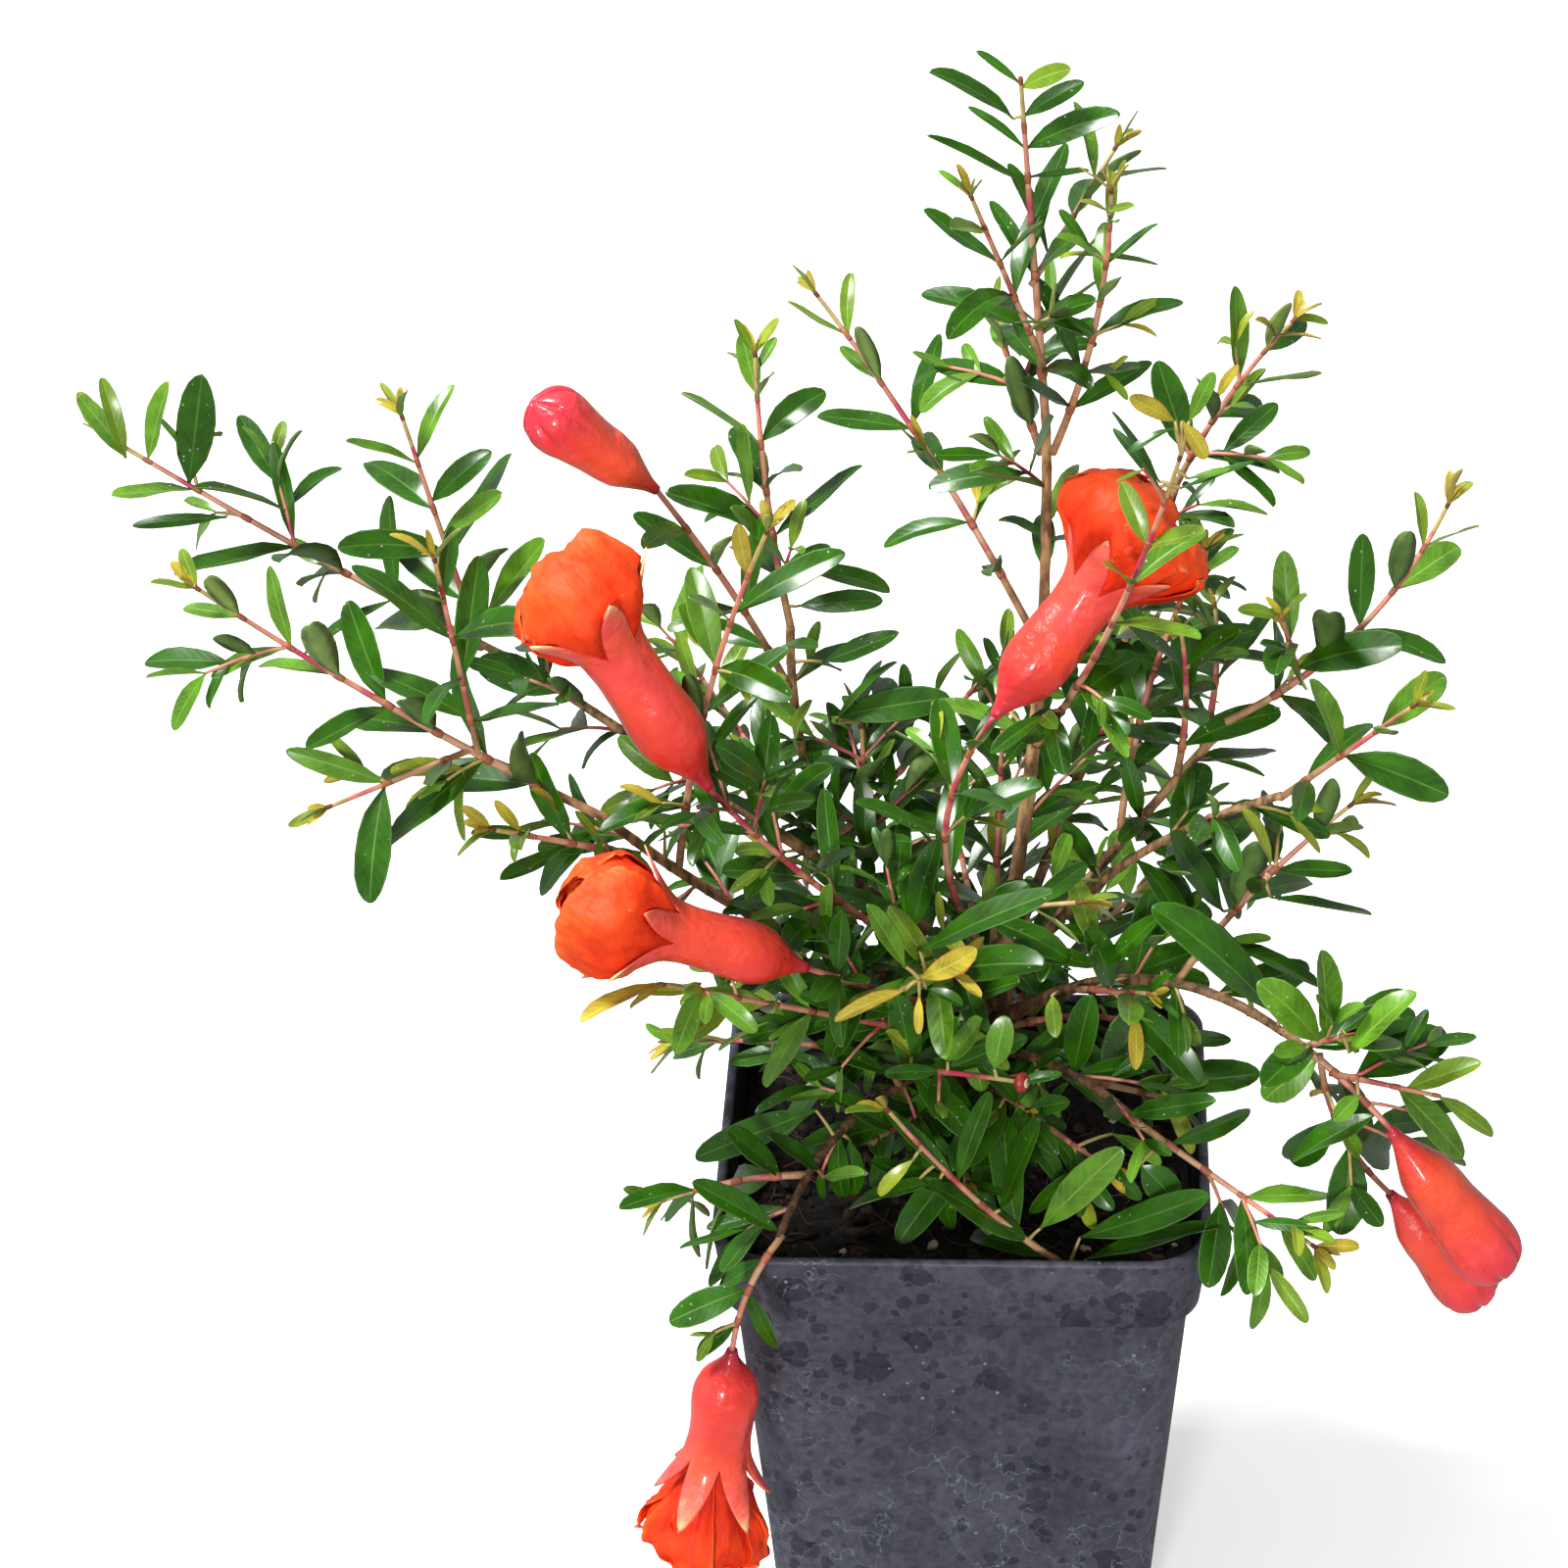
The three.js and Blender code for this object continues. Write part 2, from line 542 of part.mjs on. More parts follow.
function budSolid(foot, end, spin) {
  return turnedSolid(foot, end, bud.profile, bud.sides, 0, spin);
}

// A flower's fleshy calyx, with pointed lobes.
function calyxSolid(foot, end, spin) {
  const mouth = foot.clone().lerp(end, bloom.calyxShare);
  return turnedSolid(foot, mouth, calyxProfile, 2 * bloom.sepals, bloom.notch, spin);
}

// The crumpled ball of petals in its mouth.
function petalSolid(foot, end, seed) {
  const random = seededRandom(seed);
  const centre = foot.clone().lerp(end, bloom.petalsAt);
  const axis = end.clone().sub(foot).normalize();
  const ball = new THREE.IcosahedronGeometry(1, 1).deleteAttribute('normal').deleteAttribute('uv');
  return toSolid(moveVertices(mergeVertices(ball), (point) => {
    point.multiplyScalar(bloom.petals * mix(...bloom.crumple, random()));
    point.addScaledVector(axis, -0.12 * point.dot(axis)).add(centre);
  }));
}

function flowerThing(owner, foot, end) {
  const mouth = foot.clone().lerp(end, bloom.calyxShare);
  const centre = foot.clone().lerp(end, bloom.petalsAt);
  const ahead = foot.clone().lerp(end, bloom.petalsAt + 0.05);
  return [
    asThing(owner, 'flower', [[foot.clone().lerp(end, 0.2), mouth]], bloom.mouth - 0.8),
    asThing(owner, 'flower', [[centre, ahead]], bloom.petals * 1.05),
  ];
}

// Whether every edge and every triangle of a solid is large enough to be made.
function isSound(solid) {
  const { numProp, vertProperties, triVerts } = solid.getMesh();
  const corner = (i) => new THREE.Vector3().fromArray(vertProperties, triVerts[i] * numProp);
  for (let i = 0; i < triVerts.length; i += 3) {
    const [a, b, c] = [corner(i), corner(i + 1), corner(i + 2)];
    const sides = [a.distanceTo(b), b.distanceTo(c), c.distanceTo(a)];
    const longest = Math.max(...sides);
    const doubleArea = b.sub(a).cross(c.sub(a)).length();
    if (Math.min(...sides) < finestEdge || doubleArea / longest < finestTriangle) return false;
  }
  return true;
}

// Joins a piece to a body. make(k) gives the piece in places that differ a little, and the first
// one whose join is sound is kept.
function joinSoundly(body, make, tries) {
  for (let k = 0; k < tries; k++) {
    const joined = body.add(make(k));
    if (joined.decompose().length === 1 && isSound(joined)) return joined;
  }
  return null;
}

function meshOf(name, solid, colour, roughness) {
  const material = new THREE.MeshStandardMaterial({ color: colour, roughness, metalness: 0 });
  const mesh = new THREE.Mesh(toGeometry(solid), material);
  mesh.name = name;
  return mesh;
}

// Trunk and boughs.
const limbs = {};

function addLimb(name, curve, radiusAt, sides, steps) {
  limbs[name] = { curve, radiusAt, solid: limbSolid(curve, radiusAt, sides, steps) };
  filled.push(limbThing(name, curve, radiusAt(0.5, 0), steps));
}

const trunkFoot = new THREE.Vector3(0, 0, soil.top + gap);
const trunkMiddle = new THREE.Vector3(0, 0, mix(soil.top, trunk.top[2], 0.5));
const trunkCurve = new THREE.QuadraticBezierCurve3(trunkFoot, trunkMiddle, vector(trunk.top));
addLimb('trunk', trunkCurve, (share, angle) => {
  const flare = trunk.flare * Math.exp(-share / trunk.flareReach);
  const roots = 1 + trunk.rootShare * Math.cos(trunk.roots * angle);
  return mix(trunk.foot, trunk.tip, share) + flare * roots;
}, trunk.sides, trunk.steps);

for (const [name, row] of Object.entries(boughs)) {
  const start = limbStart(row, limbs[row.on], row.thick);
  const curve = limbCurve(start, vector(row.tip), vector(row.bow));
  addLimb(name, curve, (share) => mix(row.thick, row.thin, share), bough.sides, bough.steps);
}

// The shoots of every mass come first, so that leaves keep clear of all of them.
const shoots = Object.entries(masses).map(([name, row], i) => {
  const start = limbStart(row, limbs[row.on], twig.foot);
  const stem = limbCurve(start, vector(row.tip), vector(row.bow ?? [0, 0, 0]));
  const stemRadius = (share) => mix(twig.foot, twig.tip, share);
  let body = limbSolid(stem, stemRadius, twig.sides, twig.steps);
  filled.push(limbThing(name, stem, twig.foot, twig.steps));
  const curves = [{ curve: stem, bare: twig.bare, ends: row }];
  for (const side of row.twigs ?? []) {
    const sideCurve = (k) => {
      const from = onLimb(stem, side.at + 0.012 * k);
      return limbCurve(from, vector(side.tip), vector(side.bow ?? [0, 0, 0]));
    };
    const sideRadius = (share) => mix(twig.sideFoot, twig.tip, share);
    const sideLimb = (k) => limbSolid(sideCurve(k), sideRadius, twig.sides, twig.steps, 0.3 * k);
    body = joinSoundly(body, sideLimb, 8);
    filled.push(limbThing(name, sideCurve(0), twig.sideFoot, twig.steps));
    curves.push({ curve: sideCurve(0), bare: twig.sideBare, ends: side });
  }
  for (const { curve, ends } of curves) {
    const foot = (k) => onLimb(curve, 0.98 - 0.011 * k);
    const spin = (k) => 0.1 + 0.13 * k;
    if (ends.bud) {
      const end = vector(ends.bud);
      body = joinSoundly(body, (k) => budSolid(foot(k), end, spin(k)), 12);
      filled.push(asThing(name, 'flower', [[foot(0), end]], bud.radius));
    }
    if (ends.flower) {
      const end = vector(ends.flower);
      body = joinSoundly(body, (k) => calyxSolid(foot(k), end, spin(k)), 12);
      body = joinSoundly(body, (k) => petalSolid(foot(0), end, bloom.seed + k), 30);
      filled.push(...flowerThing(name, foot(0), end));
    }
  }
  return { name, row, random: seededRandom(twig.seed + i), body, curves };
});

// Whether a leaf keeps clear of the pot, the soil and all that is there already.
function leafFits(owner, shape) {
  const neckPoints = [0.4, 0.75].map((share) => shape.root.clone().lerp(shape.tip, share));
  if (![shape.tip, shape.left, shape.right, ...neckPoints].every(clearOfPot)) return false;
  return isClear(leafThing(owner, shape), (other) => {
    const own = other.owner === owner;
    if (other.kind === 'leaf') return own ? clearances.ownLeaf : clearances.leaf;
    return own ? clearances.ownLimb : clearances.limb;
  });
}

// Then the leaves. One that would touch a limb, a flower, another mass, the pot or the soil, or
// that would cross a leaf of its own mass, is left out.
for (const shoot of shoots) {
  for (const { curve, bare, ends } of shoot.curves) {
    const budAt = ends.bud || ends.flower ? curve.getPointAt(1) : null;
    for (const { foot, direction, normal, length } of leavesAlong(curve, shoot.row, shoot.random, bare)) {
      const shape = leafShape(foot, direction, normal, length);
      const atBud = budAt && foot.distanceTo(budAt) < leaf.budClear;
      if (atBud || !leafFits(shoot.name, shape)) continue;
      const joined = joinSoundly(shoot.body, (k) => {
        const root = foot.clone().addScaledVector(direction, -leaf.sunk[k]);
        return leafShape(root, direction, normal, length).build();
      }, leaf.sunk.length);
      if (!joined) continue;
      shoot.body = joined;
      filled.push(leafThing(shoot.name, shape));
    }
  }
}

const group = new THREE.Group();
group.name = 'potted_dwarf_pomegranate';
group.add(meshOf('pot', buildPot(), colours.pot, 0.45));
group.add(meshOf('soil', buildSoil(), colours.soil, 0.95));
for (const [name, limb] of Object.entries(limbs)) {
  group.add(meshOf(name, limb.solid, colours.bark, 0.75));
}
for (const { name, body } of shoots) group.add(meshOf(name, body, colours.foliage, 0.5));

export default group;
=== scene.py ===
import math

import bpy
import numpy as np
from mathutils import Matrix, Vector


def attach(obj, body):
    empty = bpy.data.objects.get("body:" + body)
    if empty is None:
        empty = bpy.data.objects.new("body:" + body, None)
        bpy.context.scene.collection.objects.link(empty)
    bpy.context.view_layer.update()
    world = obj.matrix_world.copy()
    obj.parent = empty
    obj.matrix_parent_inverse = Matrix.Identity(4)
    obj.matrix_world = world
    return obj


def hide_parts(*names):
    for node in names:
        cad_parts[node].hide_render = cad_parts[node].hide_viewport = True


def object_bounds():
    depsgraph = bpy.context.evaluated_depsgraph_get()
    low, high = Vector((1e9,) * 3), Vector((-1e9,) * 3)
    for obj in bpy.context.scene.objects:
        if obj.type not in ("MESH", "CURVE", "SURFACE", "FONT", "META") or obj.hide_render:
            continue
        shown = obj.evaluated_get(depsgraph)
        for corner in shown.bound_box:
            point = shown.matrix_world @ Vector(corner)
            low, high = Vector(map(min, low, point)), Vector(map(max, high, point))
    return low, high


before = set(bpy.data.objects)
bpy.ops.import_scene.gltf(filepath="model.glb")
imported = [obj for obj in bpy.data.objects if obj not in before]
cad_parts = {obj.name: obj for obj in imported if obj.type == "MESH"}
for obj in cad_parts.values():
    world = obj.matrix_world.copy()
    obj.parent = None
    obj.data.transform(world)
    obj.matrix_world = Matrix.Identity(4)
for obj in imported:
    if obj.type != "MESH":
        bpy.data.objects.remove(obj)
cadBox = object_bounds()

# A dwarf pomegranate in flower, in its square nursery pot. Lengths are in millimetres until makePiece
# turns them into metres. The limbs and leaves follow the same rule as the solids they replace.
mm = 0.001
worldUp = np.array((0.0, 0.0, 1.0))
gap = 0.3  # what the solids keep between a shoot and the limb it grows from


def unit(v):
    return v / np.linalg.norm(v, axis=-1, keepdims=True)


def mix(a, b, share):
    return a + (b - a) * share


def fullTurn(count):
    # Equal steps round a circle.
    return np.arange(count) * 2 * math.pi / count


def linear(red, green, blue):
    # A colour from 0 to 255, as seen on a screen, turned into the linear light that shaders use.
    seen = np.array((red, green, blue)) / 255.0
    light = np.where(seen <= 0.04045, seen / 12.92, ((seen + 0.055) / 1.055) ** 2.4)
    return (*light.tolist(), 1.0)


def seededRandom(seed):
    # Seeded numbers from 0 to 1: a 32-bit counter, stirred by shifts and products.
    full = 0xFFFFFFFF
    counter = seed & full

    def draw():
        nonlocal counter
        counter = (counter + 0x6D2B79F5) & full
        stirred = ((counter ^ (counter >> 15)) * (counter | 1)) & full
        stirred ^= (stirred + (((stirred ^ (stirred >> 7)) * (stirred | 61)) & full)) & full
        return (stirred ^ (stirred >> 14)) / 2**32

    return draw


def waves(points, seed, length, octaves=3):
    # Smooth noise from -1 to 1: sines in random directions, each octave half as long and half as high.
    rng = np.random.default_rng(seed)
    sines = 5
    total = np.zeros(points.shape[:-1])
    for octave in range(octaves):
        ways = unit(rng.normal(size=(sines, points.shape[-1])))
        phases = rng.uniform(0, 2 * math.pi, sines)
        turns = points @ ways.T * (2 * math.pi * 2**octave / length) + phases
        total += np.sin(turns).mean(-1) / 2**octave
    return total


# The boughs. Each stands on another limb at a share of that limb's length and ends at its tip. Its middle
# bows off the straight line, thick and thin are its radii at foot and tip, and leafy tells how many leafy
# twigs it carries.
boughs = {
    "leader_bough": dict(on="trunk", at=1, tip=(12, 14, 194), bow=(2, 0, 0), thick=1.5, thin=0.9, leafy=0.4),
    "right_bough": dict(on="trunk", at=0.95, tip=(40, 6, 149), bow=(-1, 0, 0), thick=1.2, thin=0.8,
        leafy=0.4),
    "lower_right_bough": dict(on="trunk", at=0.84, tip=(47, -16, 149), bow=(-4, 1, 4), thick=1, thin=0.7),
    "arching_bough": dict(on="trunk", at=0.73, tip=(48, -26, 114), bow=(0, 1, 8), thick=1.2, thin=0.8),
    "front_right_bough": dict(on="trunk", at=0.6, tip=(27, -24, 96), bow=(0, 0, 3), thick=1, thin=0.7),
    "back_right_bough": dict(on="trunk", at=0.88, tip=(32, 40, 171), bow=(1, 0, 0), thick=1.1, thin=0.7),
    "back_left_bough": dict(on="trunk", at=0.68, tip=(-27, 24, 155), bow=(-7, 0, -5), thick=1.2, thin=0.8,
        leafy=0.4),
    "high_left_bough": dict(on="trunk", at=0.92, tip=(-69, 18, 152), thick=1.2, thin=0.8),
    "low_left_bough": dict(on="trunk", at=0.77, tip=(-53, -14, 143), bow=(-2, 0, -3), thick=1.3, thin=0.9),
    "front_left_bough": dict(on="trunk", at=0.5, tip=(-27, -42, 87), bow=(-3, 1, 5), thick=1, thin=0.7),
}


def mass(on, at, tip, leaf, every, lush, youth=0.35, **more):
    # A row of the table below.
    return dict(more, on=on, at=at, tip=tip, leaf=leaf, every=every, lush=lush, youth=youth)


# The masses of foliage. Each is one shoot with its twigs, leaves, and buds or blossom: the limb it stands
# on and the share of that limb's length, its tip, the length of its largest leaves, the distance between
# its pairs, the share of axils that have a twig of their own, and how much younger its leaves are. broad
# is their width beside the usual, turn the first pair's turn, tuft the length of the leaves at its tip.
masses = {
    "leader_top": mass("leader_bough", 1, (8, 18, 248), 16, 7, 0.2, 0.05, turn=26, broad=0.85, twigs=[
        dict(at=0.2, tip=(1, 6, 235)),
        dict(at=0.43, tip=(22, 28, 233)),
    ]),
    "leader_right": mass("leader_bough", 0.97, (21, 4, 237), 15, 6.5, 0.12, 0.3,
        bow=(2, 0, 0), broad=0.85),
    "leader_left": mass("leader_bough", 0.96, (4, 26, 207), 15, 6.5, 0.3, 0.3, broad=0.9),
    "upper_left": mass("leader_bough", 0.62, (-23, 36, 206), 16, 8.5, 0.15, 0.3,
        bow=(1, 0, 1), broad=0.85),
    "upper_right": mass("leader_bough", 0.42, (31, -22, 208), 16, 8.5, 0.45, 0.4, bow=(1, -5, 0)),
    "back_right": mass("back_right_bough", 1, (50, 48, 196), 15, 7.5, 0.3, bow=(-1, 0, 1)),
    "right_end": mass("right_bough", 1, (72, 16, 181), 17, 8.5, 0.12, 0.3, bow=(3, 0, -3), twigs=[
        dict(at=0.25, tip=(47, 0, 170)),
    ]),
    "right_inner": mass("right_bough", 0.55, (36, 18, 172), 16, 8.5, 0.15, 0.2, bow=(-2, 0, 0)),
    "right_fork_back": mass("right_bough", 0.9, (38, 26, 158), 15, 6.5, 0.15, 0.15, bow=(1, 0, 0)),
    "right_fork_front": mass("right_bough", 0.8, (32, -4, 170), 17, 7.5, 0.3, 0.25, bow=(1, 0, 0)),
    "lower_right_end": mass("lower_right_bough", 1, (65, -26, 170), 16, 7.5, 0.15, 0.4),
    "right_low": mass("arching_bough", 0.66, (58, -8, 143), 17, 7, 0.35, 0.4, bow=(-1, 0, 1)),
    "arching_end": mass("arching_bough", 1, (64, -34, 102), 17, 5.5, 0.6, 0.1,
        bow=(0, 0, 1), broad=1.25, bud=(82, -34, 76), twigs=[
        dict(at=0.45, tip=(70, -38, 111)),
        dict(at=0.3, tip=(65, -26, 85), bow=(-2, 0, -1), bud=(80, -24, 64)),
        dict(at=0.15, tip=(56, -36, 120)),
    ]),
    "front_right_end": mass("front_right_bough", 1, (53, -40, 85), 16, 6.5, 0.35, 0.4),
    "front_right_side": mass("front_right_bough", 0.62, (33, -10, 91), 19, 5.5, 0.15, 0.05),
    "right_wall": mass("trunk", 0.66, (34, 6, 88), 18, 6.5, 0.1, 0, bow=(3, 0, 5)),
    "back_left": mass("back_left_bough", 1, (-32, 34, 197), 17, 7.5, 0.2, 0.3, bow=(-1, 0, 0)),
    "back_left_inner": mass("back_left_bough", 0.5, (6, 36, 144), 17, 7.5, 0.7, 0.2),
    "left_bud": mass("back_left_bough", 0.88, (-46, 10, 186), 16, 8.5, 0.15, 0.05,
        bow=(1, 0, 0), bud=(-63, 4, 203)),
    "left_front": mass("low_left_bough", 0.8, (-27, -26, 198), 16, 9, 0.25, 0.45, bow=(-2, 0, 1)),
    "low_left_end": mass("low_left_bough", 1, (-111, -18, 184), 18, 8.5, 0.15, 0.25, bow=(-1, 0, -1), twigs=[
        dict(at=0.3, tip=(-75, -24, 192)),
        dict(at=0.32, tip=(-92, -30, 154)),
    ]),
    "low_left_side": mass("low_left_bough", 0.9, (-69, -24, 147), 15, 6.5, 0.4, 0.3),
    "high_left_end": mass("high_left_bough", 1, (-132, 28, 186), 19, 8.5, 0.2, 0.2, bow=(0, 0, -1), twigs=[
        dict(at=0.08, tip=(-85, 24, 191)),
    ]),
    "flower_right": mass("trunk", 0.98, (5, -8, 158), 18, 8.5, 0.25, -0.2,
        bow=(-7, 0, 0), flower=(30, 5, 186)),
    "flower_left": mass("trunk", 0.86, (-37, -26, 156), 17, 7.5, 0.7, -0.2,
        bow=(-3, 0, -1), flower=(-56, -32, 193)),
    "flower_front": mass("trunk", 0.72, (-23, -28, 126), 18, 7.5, 0.8, -0.1, flower=(-57, -36, 141)),
    "flower_hanging": mass("front_left_bough", 1, (-34, -48.5, 71), 12, 5.5, 0.3, 0.1,
        bow=(-1, -2, 2), flower=(-40, -48, 29)),
    "young_left": mass("trunk", 0.62, (-44, -36, 128), 16, 7.5, 0.5, 0.6, tuft=12),
    "cut_shoot": mass("front_left_bough", 0.3, (9, -34, 110), 15, 6.5, 0.3, 0.1,
        bow=(-6, 0, 2), cut=True),
    "front_runner": mass("soil", 0, (-11, -38, 108), 18, 7.5, 0.1, 0.35,
        start=(20, -30, 71.2), bow=(0, 0, -3)),
    "left_rim": mass("front_left_bough", 0.78, (-45, -34, 88), 17, 5.5, 0.3, 0.2, bow=(0, 0, 1)),
    "centre_back": mass("trunk", 0.97, (6, 24, 146), 17, 7.5, 0.45, 0.1),
    "left_wall": mass("trunk", 0.42, (-45, 0, 94), 17, 7.5, 0.2, 0, bow=(0, 0, 3)),
    "front_high": mass("trunk", 0.91, (-6, -34, 128), 19, 6.5, 0.4, 0.5, bow=(-1, 1, 0), tuft=12),
    "front_young": mass("trunk", 0.8, (18, -22, 134), 17, 7.5, 0.4, 0.4, bow=(-10, -4, 6)),
    "front_low": mass("trunk", 0.38, (-13, -24, 93), 19, 5.5, 0.25, 0),
    "front_middle": mass("trunk", 0.47, (10, -25, 99), 18, 6, 0.25, 0, twigs=[
        dict(at=0.3, tip=(22, -27, 90)),
    ]),
    "front_centre": mass("trunk", 0.3, (1, -27, 87), 18, 5.5, 0.3, 0.05),
    "centre_right": mass("arching_bough", 0.35, (28, -25, 120), 18, 6, 0.5, 0.05),
    "centre_left": mass("trunk", 0.57, (-28, -6, 114), 19, 5.5, 0.7, 0),
    "centre_high": mass("back_left_bough", 0.35, (-16, 17, 142), 19, 5.5, 0.9, 0.05),
    "rear_left_low": mass("trunk", 0.54, (-34, 44, 104), 18, 6.5, 0.6, 0.2),
    "rear_middle": mass("trunk", 0.78, (-4, 62, 104), 18, 6.5, 0.5, 0.2, bow=(0, 0, 3)),
    "rear_right_low": mass("trunk", 0.64, (38, 46, 106), 18, 6.5, 0.6, 0.2),
    "rear_left_high": mass("back_left_bough", 0.42, (-46, 54, 134), 18, 6.5, 0.5, 0.3),
    "rear_right_high": mass("back_right_bough", 0.4, (32, 64, 140), 18, 6.5, 0.5, 0.3),
    "rear_drooping": mass("trunk", 0.42, (8, 54, 86), 17, 6.5, 0.6, 0.1, bow=(0, 0, 5)),
}


# Materials. Each takes its pattern from Object coordinates, so it sits still on the plant.
def newMaterial(name, colour, roughness, **sockets):
    material = bpy.data.materials.new(name)
    material.use_nodes = True
    shader = material.node_tree.nodes["Principled BSDF"]
    shader.inputs["Base Color"].default_value = linear(*colour)
    shader.inputs["Roughness"].default_value = roughness
    for socket, value in sockets.items():
        shader.inputs[socket].default_value = value
    return material, shader


def addNode(material, kind, inputs=(), **settings):
    # A node with its inputs, each a value or an output.
    node = material.node_tree.nodes.new(kind)
    for key, value in settings.items():
        setattr(node, key, value)
    for socket, value in dict(inputs).items():
        if hasattr(value, "is_linked"):
            material.node_tree.links.new(value, node.inputs[socket])
        else:
            node.inputs[socket].default_value = value
    return node


def objectPlace(material):
    return addNode(material, "ShaderNodeTexCoord").outputs["Object"]


def objectNoise(material, scale, detail=3.0, stretch=(1, 1, 1)):
    # Noise over Object coordinates; scale is in features per metre.
    place = objectPlace(material)
    if stretch != (1, 1, 1):
        place = addNode(material, "ShaderNodeMapping", {"Vector": place, "Scale": stretch}).outputs["Vector"]
    inputs = {"Vector": place, "Scale": scale, "Detail": detail}
    return addNode(material, "ShaderNodeTexNoise", inputs).outputs["Fac"]


def ramp(material, value, stops):
    # Colours or greys at places from 0 to 1, with straight blends between them.
    node = addNode(material, "ShaderNodeValToRGB", {"Fac": value})
    ends = node.color_ramp.elements
    while len(ends) < len(stops):
        ends.new(0.5)
    for end, (place, colour) in zip(ends, stops):
        end.position = place
        end.color = linear(*colour) if isinstance(colour, tuple) else (colour, colour, colour, 1)
    return node.outputs["Color"]


def noiseRamp(material, stops, scale, detail=3.0):
    return ramp(material, objectNoise(material, scale, detail), stops)


def blended(material, factor, first, second, way="MIX"):
    # Two colours blended by a factor; each is a colour or an output.
    inputs = {0: factor, 6: first, 7: second}
    return addNode(material, "ShaderNodeMix", inputs, data_type="RGBA", blend_type=way).outputs[2]


def mathNode(material, first, second, operation="MULTIPLY"):
    # Two greys put together; each is a number or an output.
    return addNode(material, "ShaderNodeMath", {0: first, 1: second}, operation=operation).outputs[0]


def paint(material, shader, colour):
    material.node_tree.links.new(colour, shader.inputs["Base Color"])


def addBump(material, shader, height, strength, distance):
    # The distance is in metres.
    inputs = {"Height": height, "Strength": strength, "Distance": distance}
    bump = addNode(material, "ShaderNodeBump", inputs)
    material.node_tree.links.new(bump.outputs["Normal"], shader.inputs["Normal"])


def shade(colour, factor):
    return tuple(min(255, part * factor) for part in colour)


def mottled(name, colour, roughness, spread=0.14, scale=220, bump=0.0, **sockets):
    # A plain colour that drifts a little lighter and darker, as living things do.
    material, shader = newMaterial(name, colour, roughness, **sockets)
    drift = objectNoise(material, scale)
    tones = [(0.3, shade(colour, 1 - spread)), (0.7, shade(colour, 1 + spread))]
    paint(material, shader, ramp(material, drift, tones))
    if bump:
        addBump(material, shader, objectNoise(material, 4 * scale), bump, 0.0002)
    return material


# Pieces.
def makePiece(name, points, faces, materials, slot, stands, which=None, values=None, places=None):
    # A mesh from arrays. A face of three corners has -1 as its fourth.
    faces = np.asarray(faces, dtype=np.int32)
    sizes = (faces >= 0).sum(1)
    corners = faces[faces >= 0]
    mesh = bpy.data.meshes.new(name)
    mesh.vertices.add(len(points))
    mesh.vertices.foreach_set("co", (np.asarray(points) * mm).astype(np.float32).ravel())
    mesh.loops.add(len(corners))
    mesh.loops.foreach_set("vertex_index", corners)
    mesh.polygons.add(len(faces))
    mesh.polygons.foreach_set("loop_start", (np.cumsum(sizes) - sizes).astype(np.int32))
    for material in materials:
        mesh.materials.append(material)
    if which is not None:
        mesh.polygons.foreach_set("material_index", np.asarray(which, dtype=np.int32))
    for key, array in (values or {}).items():
        mesh.attributes.new(key, "FLOAT", "POINT").data.foreach_set("value", array.astype(np.float32))
    if places is not None:
        layer = mesh.uv_layers.new(name="UVMap")
        layer.data.foreach_set("uv", places[corners].astype(np.float32).ravel())
    mesh.update(calc_edges=True)
    mesh.validate()
    mesh.shade_smooth()
    piece = bpy.data.objects.new(name, mesh)
    bpy.context.scene.collection.objects.link(piece)
    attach(piece, "root")
    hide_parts(*stands)
    print(name, len(points), "points", int((sizes - 2).sum()), "triangles")
    return piece


def gridFaces(rows, columns, closed):
    # Quads between neighbours of a grid; closed joins the last column to the first.
    across = np.arange(columns if closed else columns - 1)
    row, column = np.meshgrid(np.arange(rows - 1), across, indexing="ij")
    after = (column + 1) % columns
    first, second = row * columns, (row + 1) * columns
    return np.stack([first + column, first + after, second + after, second + column], -1).reshape(-1, 4)


def capped(points, rows, columns, foot, end):
    # A closed grid's points and faces, with a middle point and a fan at each end.
    turn = np.arange(columns)
    after = (turn + 1) % columns
    none = np.full(columns, -1)
    last = (rows - 1) * columns
    low = np.stack([after, turn, np.full(columns, len(points)), none], -1)
    high = np.stack([last + turn, last + after, np.full(columns, len(points) + 1), none], -1)
    faces = np.concatenate([gridFaces(rows, columns, True), low, high])
    return np.concatenate([points, [foot], [end]]), faces


def joined(parts):
    # Many (points, faces) pairs as one pair, with the faces renumbered.
    counts = np.cumsum([0] + [len(points) for points, _ in parts])
    faces = [np.where(face >= 0, face + shift, -1) for (_, face), shift in zip(parts, counts)]
    return np.concatenate([points for points, _ in parts]), np.concatenate(faces)


def tube(line, radii, sides):
    # A tube along a line: at each point a ring whose radius may change along it and round it. The
    # rings stand square to the line and don't turn about it, and a fan closes each end.
    count = len(line)
    heading = unit(np.gradient(line, axis=0))
    chord = line[-1] - line[0]
    aside = np.cross(chord, (0.31, 0.17, 0.93))
    across = unit(aside - (heading @ aside)[:, None] * heading)
    other = np.cross(heading, across)
    angles = fullTurn(sides)
    radii = np.asarray(radii, float)
    radii = np.broadcast_to(radii[:, None] if radii.ndim == 1 else radii, (count, sides))
    ring = np.cos(angles)[:, None] * across[:, None] + np.sin(angles)[:, None] * other[:, None]
    points = (line[:, None] + radii[..., None] * ring).reshape(-1, 3)
    return capped(points, count, sides, line[0], line[-1])


# Curves.
def limbCurve(start, tip, bow=(0, 0, 0)):
    # Three points of a quadratic curve whose middle lies off the chord by the bow.
    start, tip = np.asarray(start, float), np.asarray(tip, float)
    return np.array([start, (start + tip) / 2 + 2 * np.asarray(bow, float), tip])


